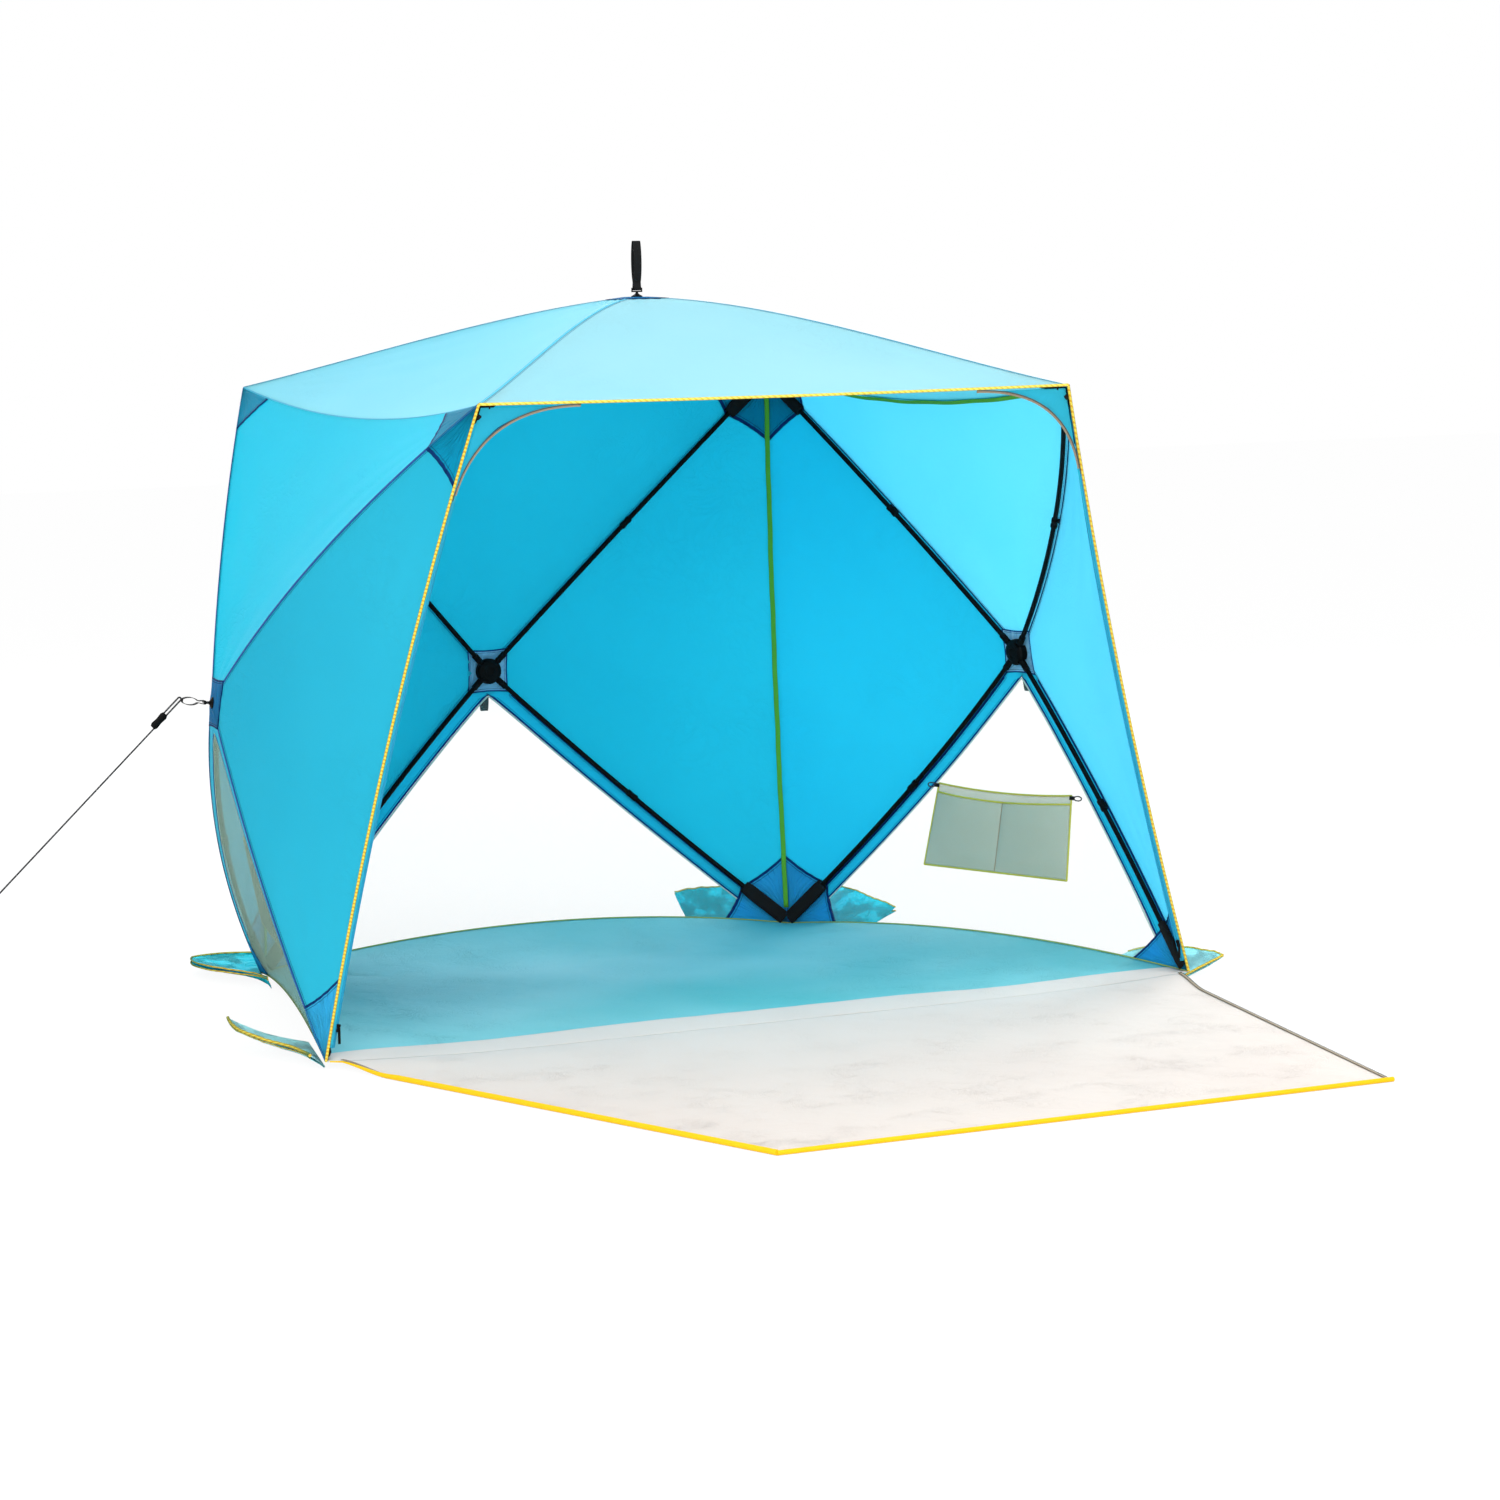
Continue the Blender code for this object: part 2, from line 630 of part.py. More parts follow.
class Pole:
    """One pole: the curve of its rod from the hub pin to its tip, bowed outwards."""

    def __init__(self, face, index):
        self.face = face
        self.index = index
        corner = CORNERS[face.ring[index]]
        spoke = face.spoke(index)
        self.name = f"{face.name}_pole_{face.ring[index]}"
        self.pin = face.hub + spoke * PIN_CIRCLE_RADIUS
        self.across = face.normal.cross(spoke)
        tip = corner + (face.hub - corner).normalized() * TIP_SETBACK
        tip -= face.normal * TIP_DEPTH_UNDER_CLOTH
        tip.z = max(tip.z, TIP_MIN_HEIGHT)
        self.tip = tip
        self.chord = (tip - self.pin).length
        self.bulge = (self.pin - tip).dot(face.normal)
        # The tip sweeps outwards as the hub passes its dead centre, so the rod stops short of it
        self.overrun = self.chord - math.sqrt(self.chord ** 2 - self.bulge ** 2)
        self.length = self.chord - self.overrun

    def at(self, distance):
        """A point on the rod's centreline, by distance from the pin along the chord."""
        t = distance / self.chord
        lift = self.face.normal * self.face.bow(self.index, max(t, 0))
        return self.pin.lerp(self.tip, t) + lift

    def ring(self, distance, half_width, half_height, roundness):
        """A cross-section: an ellipse at roundness 1, and nearly a rectangle near 0."""
        step = 0.002
        if distance < 0:
            way = (self.at(step) - self.at(0)).normalized()
            middle = self.pin + way * distance
        else:
            way = (self.at(distance + step) - self.at(distance)).normalized()
            middle = self.at(distance)
        height = way.cross(self.across).normalized()
        points = []
        for k in range(SECTION_SIDES):
            angle = math.tau * k / SECTION_SIDES
            c, s = math.cos(angle), math.sin(angle)
            wide = math.copysign(abs(c) ** roundness if abs(c) > 1e-9 else 0, c)
            high = math.copysign(abs(s) ** roundness if abs(s) > 1e-9 else 0, s)
            points.append(middle + self.across * half_width * wide
                          + height * half_height * high)
        return points


def build_pole(face, index):
    """A pole in one piece: hub tongue, ferrule, rod, mid clip and webbing boot."""
    pole = Pole(face, index)
    square, round_ = 0.35, 1.0
    middle, end = pole.chord / 2, pole.length
    boot = end - BOOT_LENGTH
    sections = [(-0.0061, TONGUE_HALF_WIDTH, 0.0012, square),
                (-0.0050, TONGUE_HALF_WIDTH, 0.0037, square),
                (-0.0028, TONGUE_HALF_WIDTH, 0.0055, square),
                (0.0005, TONGUE_HALF_WIDTH, EYE_RADIUS, square),
                (FERRULE_SPAN[0] - 0.002, TONGUE_HALF_WIDTH, EYE_RADIUS, square),
                (FERRULE_SPAN[0], FERRULE_RADIUS, FERRULE_RADIUS, round_),
                (FERRULE_SPAN[1], FERRULE_RADIUS, FERRULE_RADIUS, round_),
                (FERRULE_SPAN[1] + 0.002, ROD_RADIUS, ROD_RADIUS, round_)]
    clip_low, clip_high = middle - CLIP_HALF_LENGTH, middle + CLIP_HALF_LENGTH
    for distance in spread(FERRULE_SPAN[1], clip_low - 0.002, 4)[1:]:
        sections.append((distance, ROD_RADIUS, ROD_RADIUS, round_))
    sections += [(clip_low, CLIP_RADIUS, CLIP_RADIUS, round_),
                 (clip_high, CLIP_RADIUS, CLIP_RADIUS, round_)]
    for distance in spread(clip_high + 0.002, boot - 0.002, 3):
        sections.append((distance, ROD_RADIUS, ROD_RADIUS, round_))
    sections += [(boot, BOOT_HALF_WIDTH * 0.8, BOOT_HALF_THICKNESS, square),
                 (boot + 0.01, BOOT_HALF_WIDTH, BOOT_HALF_THICKNESS, square),
                 (end - 0.012, BOOT_HALF_WIDTH, 0.0056, square),
                 (end, BOOT_HALF_WIDTH * 0.9, 0.0035, square)]
    body = bmesh.new()
    loft(body, [pole.ring(*section) for section in sections])
    origin = Matrix.Translation(pole.pin)
    piece = add_object(pole.name, body, BLACK_ROD, origin)
    hole = bmesh.new()
    add_rod(hole, pole.pin, pole.across, PIN_HOLE_RADIUS, 0.03, 10)
    add_boolean(piece, add_object(f"{pole.name}_pin_hole", hole, None, smooth=False),
                "DIFFERENCE")
    return piece


# Hub caps and pull straps


def build_cap(face):
    """The cap that clamps the cloth to the hub: a turned cone, its stud and a wire stirrup."""
    frame = face.frame()
    base, top = CAP_BASE, CAP_BASE + 0.009
    profile = [(0, STUD_BORE_FLOOR + 0.001), (0.003, STUD_BORE_FLOOR + 0.001), (0.003, base),
               (CAP_RADIUS, base), (CAP_RADIUS, base + 0.002), (0.006, base + 0.006),
               (0.0032, top), (0.0032, STRAP_PIVOT - 0.0065), (0, STRAP_PIVOT - 0.0065)]
    body = bmesh.new()
    turned(body, profile, frame, 16)
    cap = add_object(f"{face.name}_hub_cap", body, BLACK_NYLON, frame)
    stirrup = bmesh.new()
    wire, half = STIRRUP_WIRE, STIRRUP_HALF_WIDTH
    foot_height, bar_height = STRAP_PIVOT - 0.0072, STRAP_PIVOT
    corners = [(-half, foot_height), (half, foot_height), (half, bar_height),
               (-half, bar_height)]
    loops = []
    for (x, z), (dx, dz) in zip(corners, ((-1, -1), (1, -1), (1, 1), (-1, 1))):
        ring = []
        for k in range(6):
            angle = math.tau * (k + 0.5) / 6
            swell = wire * math.cos(angle)
            ring.append(frame @ Vector((wire * math.sin(angle), x + dx * swell, z + dz * swell)))
        loops.append([stirrup.verts.new(point) for point in ring])
    for k in range(4):
        near, far = loops[k], loops[(k + 1) % 4]
        for m in range(6):
            stirrup.faces.new((near[m], near[(m + 1) % 6], far[(m + 1) % 6], far[m]))
    add_boolean(cap, add_object(f"{face.name}_stirrup", stirrup, None, smooth=False), "UNION")
    return cap


def strap_half_gap(share):
    """Half the opening of a strap's loop, by share of its length above the stitching."""
    return 0.0068 * math.sin(math.pi * share) ** 0.6


def hanging_turn(face):
    """The turn about the stirrup bar that lets a strap hang straight down."""
    axes = face.frame().to_3x3()
    return Matrix.Rotation(math.atan2(-axes.col[0].z, -axes.col[2].z), 4, "Y")


def build_strap(face, length, lean):
    """A webbing pull strap: folded round the stirrup bar, stitched, then open as a loop."""
    frame = face.frame() @ Matrix.Translation((0, 0, STRAP_PIVOT)) @ lean
    bar_gap, thick = STIRRUP_WIRE + 0.0006, STRAP_THICKNESS
    neck, steps = 0.016, 7
    outline = [(-0.004, 0.002), (-0.0030, -0.0035), (0.0030, -0.0035), (0.004, 0.002)]
    outline = [(x * (bar_gap + thick) / 0.0042, z) for x, z in outline]
    spans = [neck + (length - neck) * k / steps for k in range(steps + 1)]
    right = [(max(thick, strap_half_gap(k / steps) + thick), z)
             for k, z in enumerate(spans)]
    outline += [*right, *[(-x, z) for x, z in reversed(right)]]
    bm = bmesh.new()
    front = [bm.verts.new((x, -STRAP_WIDTH / 2, z)) for x, z in outline]
    bm.faces.new(front)
    grown = bmesh.ops.extrude_face_region(bm, geom=bm.faces[:])
    moved = [item for item in grown["geom"] if isinstance(item, bmesh.types.BMVert)]
    bmesh.ops.translate(bm, verts=moved, vec=(0, STRAP_WIDTH, 0))
    bmesh.ops.transform(bm, matrix=frame, verts=bm.verts)
    strap = add_object(f"{face.name}_pull_strap", bm, BLACK_WEBBING, frame)

    hollows = bmesh.new()
    inner = [(strap_half_gap(k / steps) - 0.0001, z) for k, z in enumerate(spans)][1:-1]
    loop = [*inner, *[(-x, z) for x, z in reversed(inner)]]
    face_verts = [hollows.verts.new((x, -STRAP_WIDTH, z)) for x, z in loop]
    hollows.faces.new(face_verts)
    grown = bmesh.ops.extrude_face_region(hollows, geom=hollows.faces[:])
    moved = [item for item in grown["geom"] if isinstance(item, bmesh.types.BMVert)]
    bmesh.ops.translate(hollows, verts=moved, vec=(0, 2 * STRAP_WIDTH, 0))
    add_rod(hollows, Vector((0, 0, 0)), Vector((0, 1, 0)), bar_gap, 2 * STRAP_WIDTH, 10)
    bmesh.ops.transform(hollows, matrix=frame, verts=hollows.verts)
    add_boolean(strap, add_object(f"{face.name}_strap_hollows", hollows, None, smooth=False),
                "DIFFERENCE")
    return strap


# Pockets


def wedge(bm, inner_path, outer_path, heights, low, high_end):
    """A closed wedge along two paths on the ground, open side towards the outer path."""
    rings = []
    for near, far, height in zip(inner_path, outer_path, heights):
        rings.append([near + UP * low[0], far + UP * low[1],
                      far + UP * (low[1] + height), near + UP * (low[0] + high_end)])
    loft(bm, rings)


def sill_way(corner, other):
    """Level unit direction along a sill, from one foot to another."""
    way = CORNERS[other] - CORNERS[corner]
    return Vector((way.x, way.y, 0)).normalized()


def sand_paths(corner, start, stop, near, depth):
    """Paths of a sand pocket beside a foot: close to the sill, and depth further out."""
    side = "left" if "left" in corner else "right"
    sign = -1 if side == "left" else 1
    foot_point = Vector((CORNERS[corner].x, CORNERS[corner].y, 0))
    along = sill_way(f"front_{side}_low", f"back_{side}_low")
    out_side = Vector((sign * along.y, -sign * along.x, 0)).normalized()
    out_side = out_side if out_side.x * sign > 0 else -out_side
    shares = spread(start, stop, 8)
    inner, outer = [], []
    for share in shares:
        if corner.startswith("front"):
            place = foot_point + along * (0.02 + SAND_REACH * share)
            out = out_side
        else:
            reach = SAND_REACH * (2 * share - 1)
            out_back = Vector((0, 1, 0))
            place = foot_point + (along * reach if reach < 0 else Vector((-sign, 0, 0)) * reach)
            turn = min(1, max(0, 0.5 + reach / 0.16))
            out = out_side.lerp(out_back, turn).normalized()
            out *= 1 + 0.25 * math.sin(math.pi * turn)
        inner.append(place + out * near)
        outer.append(place + out * (near + depth))
    return inner, outer


def build_sand_pocket(corner):
    """A sand pocket: a cloth scoop along the sill, closed at its ends, its mouth outwards."""
    def heights(start, stop, drop):
        return [max(0.003, SAND_MOUTH * math.sin(math.pi * share) ** 0.7 - drop)
                for share in spread(start, stop, 8)]

    shell = bmesh.new()
    inner, outer = sand_paths(corner, 0.0, 1.0, SAND_STANDOFF, SAND_DEPTH)
    tall = [height + 2 * SAND_WALL for height in heights(0.0, 1.0, 0)]
    wedge(shell, inner, outer, tall, (0.0, SAND_LIFT), 0.005)
    pocket = add_object(f"sand_pocket_{corner[:-4]}", shell, SAND_BLUE)
    hollow = bmesh.new()
    start, stop = 0.06, 0.94
    inner, outer = sand_paths(corner, start, stop, SAND_STANDOFF + 0.012, SAND_DEPTH)
    clear = [height for height in heights(start, stop, 0)]
    slope = SAND_LIFT / SAND_DEPTH
    wedge(hollow, inner, outer, clear, (SAND_WALL + 0.012 * slope,
                                       SAND_WALL + SAND_LIFT + 0.012 * slope), 0.0022)
    add_boolean(pocket, add_object(f"{pocket.name}_hollow", hollow, None, smooth=False),
                "DIFFERENCE")
    return pocket


def pocket_frame(side):
    """A storage pocket's frame: X along it, Y into the shelter and Z up the window."""
    face = FACES[side]
    sill = face.ring[3], face.ring[0]
    low = (CORNERS[sill[0]] + CORNERS[sill[1]]) / 2
    along = sill_way(f"front_{side}_low", f"back_{side}_low")
    up_window = face.hub - low
    up_window = (up_window - along * up_window.dot(along)).normalized()
    inward = along.cross(up_window)
    inward = inward if inward.x * face.hub.x < 0 else -inward
    x_axis = inward.cross(up_window).normalized()
    share = (POCKET_TOP_HEIGHT - low.z) / (face.hub.z - low.z)
    top = low.lerp(face.hub, share) + inward * POCKET_STANDOFF + along * POCKET_SHIFT
    turned_axes = Matrix((x_axis, inward, up_window)).transposed().to_4x4()
    return Matrix.Translation(top) @ turned_axes


def add_block(bm, frame, low, high):
    """A box between two corners, in a frame's own coordinates."""
    low, high = Vector(low), Vector(high)
    size = high - low
    bmesh.ops.create_cube(bm, size=1, matrix=frame @ Matrix.Translation((low + high) / 2)
                          @ Matrix.Diagonal((*size, 1)))


def build_storage_pocket(side):
    """A hanging pocket with two open-topped compartments and a hook at each end."""
    frame = pocket_frame(side)
    half, wall, depth = POCKET_WIDTH / 2, POCKET_WALL, POCKET_DEPTH
    body = bmesh.new()
    add_block(body, frame, (-half, 0, -POCKET_HEIGHT), (half, depth, 0))
    pocket = add_object(f"{side}_storage_pocket", body, POCKET_GREY)
    rooms = bmesh.new()
    for low, high in ((-half + wall, -wall / 2), (wall / 2, half - wall)):
        add_block(rooms, frame, (low, wall, -POCKET_HEIGHT + wall), (high, depth - wall, 0.01))
    add_boolean(pocket, add_object(f"{side}_pocket_rooms", rooms, None, smooth=False),
                "DIFFERENCE")
    hooks = bmesh.new()
    for sign in (-1, 1):
        near, far = sorted((sign * (half - 0.003), sign * (half + 0.024)))
        add_block(hooks, frame, (near, 0.0, -0.012), (far, 0.0035, -0.002))
    add_boolean(pocket, add_object(f"{side}_pocket_hooks", hooks, None, smooth=False), "UNION")
    return pocket


def slider_place(side, share):
    """A place on the doorway's zip, beside the leg's edge."""
    sign = -1 if side == "left" else 1
    return edge_point(FACES[side], 0, share) + Vector((-sign * SLIDER_INSET, -0.006, 0))


def build_zip_slider(side):
    """A door zip's slider: a waisted body with a flat pull tab that hangs in front of it."""
    centre = slider_place(side, SLIDER_LEG_SHARE)
    way = (slider_place(side, 0.26) - centre).normalized()
    across = way.cross(Vector((0, 1, 0))).normalized()
    axes = Matrix((across, way.cross(across), way)).transposed().to_4x4()
    frame = Matrix.Translation(centre) @ axes
    width, depth, height = (size / 2 for size in SLIDER_SIZE)
    body = bmesh.new()
    rings = []
    for share, swell in ((-1, 0.66), (-0.7, 0.8), (0, 0.74), (0.5, 1), (0.85, 1), (1, 0.8)):
        outline = []
        for k in range(12):
            angle = math.tau * k / 12
            outline.append(frame @ Vector((width * swell * math.cos(angle),
                                           depth * math.sin(angle), height * share)))
        rings.append(outline)
    loft(body, rings)
    slider = add_object(f"{side}_zip_slider", body, BLACK_NYLON, frame)
    wide, thick, long_ = PULL_TAB_SIZE
    blocks = {"link": ((-0.002, -depth - 0.0012, -0.003), (0.002, 0, 0.0005)),
              "tab": ((-wide / 2, -depth - 0.0008 - thick, -long_),
                      (wide / 2, -depth - 0.0008, 0.001))}
    for name, (low, high) in blocks.items():
        block = bmesh.new()
        add_block(block, Matrix.Translation(centre), low, high)
        tool = add_object(f"{side}_zip_{name}", block, None, smooth=False)
        add_boolean(slider, tool, "UNION")
    return slider


# Guy line


def guy_way():
    """Start point and direction of the guy line, at the end of the left pull strap."""
    face = FACES["left"]
    start = face.hub + face.normal * (STRAP_PIVOT + GUY_STRAP_LENGTH + 0.0028)
    return start, (GUY_GROUND_POINT - start).normalized()


def add_cord(name, points, radius):
    """A cord as a poly curve with a round bevel and closed ends."""
    curve = bpy.data.curves.new(name, "CURVE")
    curve.dimensions = "3D"
    curve.bevel_depth = radius
    curve.bevel_resolution = 2
    curve.use_fill_caps = True
    spline = curve.splines.new("POLY")
    spline.points.add(len(points) - 1)
    for knot, point in zip(spline.points, points):
        knot.co = (*point, 1)
    curve.materials.append(make_material(CORD_BLACK))
    cord = bpy.data.objects.new(name, curve)
    bpy.context.scene.collection.objects.link(cord)
    return cord


def build_guy():
    """The taut guy line, the strand back to its tensioner, and the tied loop at its end."""
    start, way = guy_way()
    beside = Vector((0, 1, 0)).cross(way).normalized() * GUY_STRAND_GAP
    reach = (GUY_GROUND_POINT - start).length - KNOT_RADIUS - 0.0004
    add_cord("guy_line", [start + way * reach * k / 16 for k in range(17)], GUY_RADIUS)
    add_cord("guy_return", [start + beside + way * (TENSIONER_AT + 0.014) * k / 4
                            for k in range(5)], GUY_RADIUS)

    body = bmesh.new()
    spin = Matrix((beside.normalized(), way.cross(beside).normalized(), way)).transposed()
    frame = (Matrix.Translation(start + way * (TENSIONER_AT + TENSIONER_LENGTH / 2)
                                + beside / 2) @ spin.to_4x4())
    half = TENSIONER_LENGTH / 2
    rings = []
    for z, grow in ((-half, 0.72), (-half + 0.006, 1), (0, 0.86), (half - 0.006, 1),
                    (half, 0.72)):
        ring = []
        for k in range(12):
            angle = math.tau * k / 12
            ring.append(frame @ Vector((0.0095 * grow * math.cos(angle),
                                        0.0052 * math.sin(angle), z)))
        rings.append(ring)
    loft(body, rings)
    tensioner = add_object("guy_tensioner", body, BLACK_NYLON, frame)
    bores = bmesh.new()
    bore = GUY_RADIUS + 0.0006
    add_rod(bores, start + way * (TENSIONER_AT + half), way, bore, 0.08, 12)
    add_rod(bores, start + beside + way * (TENSIONER_AT - 0.01), way, bore, 0.05, 12)
    add_boolean(tensioner, add_object("guy_tensioner_bores", bores, None, smooth=False),
                "DIFFERENCE")
    knot = bmesh.new()
    bmesh.ops.create_icosphere(knot, subdivisions=2, radius=KNOT_RADIUS,
                               matrix=Matrix.Translation(GUY_GROUND_POINT))
    add_object("guy_end_knot", knot, CORD_BLACK)


def build_hub_group(face):
    """A hub with its cap and its four poles."""
    hub = build_hub(face)
    attach(build_cap(face), hub)
    for index in range(4):
        attach(build_pole(face, index), hub)
    return hub


def build_shelter():
    """Every piece of the shelter."""
    for old in list(bpy.data.objects):
        bpy.data.objects.remove(old)
    straps = {"roof": (ROOF_STRAP_LENGTH, Matrix.Identity(4)),
              "left": (GUY_STRAP_LENGTH, Matrix.Identity(4)),
              "back": (HUB_STRAP_LENGTH, hanging_turn(FACES["back"])),
              "right": (HUB_STRAP_LENGTH, hanging_turn(FACES["right"]))}
    for name, face in FACES.items():
        hub = build_hub_group(face)
        attach(build_strap(face, *straps[name]), hub)
    build_skin("roof_canopy", FACES["roof"])
    for wall in WALLS:
        build_skin(f"{wall}_wall", FACES[wall])
        build_window(f"{wall}_window", FACES[wall])
    for corner in CORNERS:
        build_corner_patch(corner)
    for corner in CORNERS:
        if corner.endswith("low"):
            build_sand_pocket(corner)
    for side in ("left", "right"):
        build_gusset(side)
        build_storage_pocket(side)
        build_zip_slider(side)
    build_floor()
    build_door()
    build_guy()


build_shelter()
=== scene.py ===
"""Dresses the pop-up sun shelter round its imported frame: cloth faces with taped seams, mesh
windows, sprung poles in webbing boots, hubs, pockets, floor, door panel, zips and guy line.

Metres, +Z up, the doorway faces -Y and the shelter is symmetric about X = 0.
"""

import logging
import math
from collections.abc import Callable, Sequence
from dataclasses import dataclass, field
from enum import Enum
from functools import cached_property, partial, partialmethod

import bmesh
import bpy
from mathutils import Matrix, Vector, noise

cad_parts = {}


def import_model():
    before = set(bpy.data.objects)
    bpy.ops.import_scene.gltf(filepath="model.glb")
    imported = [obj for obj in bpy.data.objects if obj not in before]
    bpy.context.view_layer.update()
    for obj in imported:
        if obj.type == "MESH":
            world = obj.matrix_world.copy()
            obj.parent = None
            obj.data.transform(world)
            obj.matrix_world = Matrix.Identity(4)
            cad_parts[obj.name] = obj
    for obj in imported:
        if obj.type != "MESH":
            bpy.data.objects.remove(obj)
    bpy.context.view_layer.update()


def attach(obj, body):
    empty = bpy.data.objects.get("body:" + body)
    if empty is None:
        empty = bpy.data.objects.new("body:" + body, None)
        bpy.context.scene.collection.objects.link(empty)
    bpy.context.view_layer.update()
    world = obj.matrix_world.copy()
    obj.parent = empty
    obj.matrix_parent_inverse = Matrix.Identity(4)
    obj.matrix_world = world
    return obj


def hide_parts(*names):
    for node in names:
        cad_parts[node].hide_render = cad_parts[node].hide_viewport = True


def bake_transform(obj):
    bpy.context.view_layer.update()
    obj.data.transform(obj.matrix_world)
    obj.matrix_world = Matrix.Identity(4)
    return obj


LOG = logging.getLogger("sun_shelter")
SPECULAR = "Specular IOR Level"
ALONG = Vector((1.0, 0.0, 0.0))
DEEP = Vector((0.0, 1.0, 0.0))
UP = Vector((0.0, 0.0, 1.0))
Colour = tuple[int, int, int]
Shape = bmesh.types.BMesh
Path = Callable[[float], Vector]
Spread = Callable[[float, float], Vector]


def rgba(colour: Colour, gain: float = 1.0, lift: float = 0.0) -> tuple[float, ...]:
    """A linear colour with alpha.

    Args:
        colour: Red, green and blue as 0 to 255 display values.
        gain: What the linear values are multiplied by.
        lift: What is then added to them.

    Returns:
        Red, green, blue and alpha, from 0 to 1.
    """
    shares = [value / 255 for value in colour]
    linear = [share / 12.92 if share <= 0.04045 else ((share + 0.055) / 1.055) ** 2.4
              for share in shares]
    return (*(min(1.0, value * gain + lift) for value in linear), 1.0)


def clamp(value: float, low: float = 0.0, high: float = 1.0) -> float:
    """Keeps a value between two limits."""
    return max(low, min(high, value))


def eased(share: float) -> float:
    """Spaces shares from 0 to 1 closer together at both ends."""
    return 0.5 - 0.5 * math.cos(math.pi * share)


# Shader graphs and the effects that finishes share


@dataclass(frozen=True)
class Wire:
    """One output of a shader node; arithmetic on it adds Math nodes."""

    graph: "Graph"
    node: bpy.types.Node
    key: str | int = 0

    def __getitem__(self, key: str | int) -> "Wire":
        """Another output of the same node."""
        return Wire(self.graph, self.node, key)

    def math(self, operation: str, *others: object) -> "Wire":
        """Adds a Math node on this value and up to two more."""
        return self.graph.math(operation, self, *others)

    __add__ = partialmethod(math, "ADD")
    __sub__ = partialmethod(math, "SUBTRACT")
    __mul__ = partialmethod(math, "MULTIPLY")
    __truediv__ = partialmethod(math, "DIVIDE")


class Graph:
    """A node tree that short calls fill with nodes and links."""

    def __init__(self, tree: bpy.types.NodeTree, palette: "Palette | None" = None) -> None:
        """Starts on an empty tree.

        Args:
            tree: The tree to fill.
            palette: Where the shared groups come from.
        """
        self.tree = tree
        self.palette = palette
        tree.nodes.clear()

    def add(self, kind: str, inputs: dict[str | int, object] | None = None,
            **settings: object) -> Wire:
        """Adds a node.

        Args:
            kind: The node's type without the ShaderNode prefix.
            inputs: Values or wires, by the input's name or number.
            **settings: The node's own properties.

        Returns:
            The node's first output, from which the others are reached.
        """
        prefix = "" if kind.startswith("Node") else "ShaderNode"
        node = self.tree.nodes.new(prefix + kind)
        for name, value in settings.items():
            setattr(node, name, value)
        for key, value in (inputs or {}).items():
            if isinstance(value, Wire):
                self.tree.links.new(value.node.outputs[value.key], node.inputs[key])
            else:
                node.inputs[key].default_value = value
        return Wire(self, node)

    def math(self, operation: str, *values: object) -> Wire:
        """Adds a Math node on up to three values or wires."""
        return self.add("Math", dict(enumerate(values)), operation=operation)

    def mix(self, share: object, first: object, second: object) -> Wire:
        """Mixes two colours by a share."""
        return self.add("Mix", {0: share, 6: first, 7: second}, data_type="RGBA")[2]

    def ramp(self, value: Wire, low: float, high: float, start: float = 0.0) -> Wire:
        """Runs from start at the low value to the other end of 0 to 1 at the high one."""
        return self.add("MapRange", {0: value, 1: low, 2: high, 3: start, 4: 1.0 - start})

    def band(self, value: Wire, edge: float, soft: float) -> Wire:
        """A mask that is 1 under an edge value and falls to 0 over a soft width."""
        return self.ramp(value, edge, edge + soft, 1.0)

    def noise(self, vector: Wire, scale: object, detail: float = 2.0) -> Wire:
        """Adds a noise texture."""
        return self.add("TexNoise", {"Vector": vector, "Scale": scale, "Detail": detail})

    def bump(self, height: Wire, strength: float, distance: float) -> Wire:
        """Turns a height into a normal."""
        return self.add("Bump", {"Height": height, "Strength": strength, "Distance": distance})

    def shader(self, colour: Wire, normal: Wire, inputs: dict[str, object]) -> Wire:
        """Adds a Principled shader."""
        return self.add("BsdfPrincipled", {"Base Color": colour, "Normal": normal, **inputs})

    def group(self, effect: "Effect", **inputs: object) -> Wire:
        """Places a shared group with its own values."""
        return self.add("Group", inputs, node_tree=self.palette.group(effect))

    @cached_property
    def where(self) -> Wire:
        """The place on the object, in metres."""
        return self.add("TexCoord")["Object"]

    @cached_property
    def flat(self) -> Wire:
        """The place on the flat cloth, in metres."""
        return self.add("UVMap", uv_map="cloth")

    @cached_property
    def rim(self) -> Wire:
        """The distance to the cloth's taped edge, in metres."""
        return self.add("Attribute", attribute_name="rim")["Fac"]


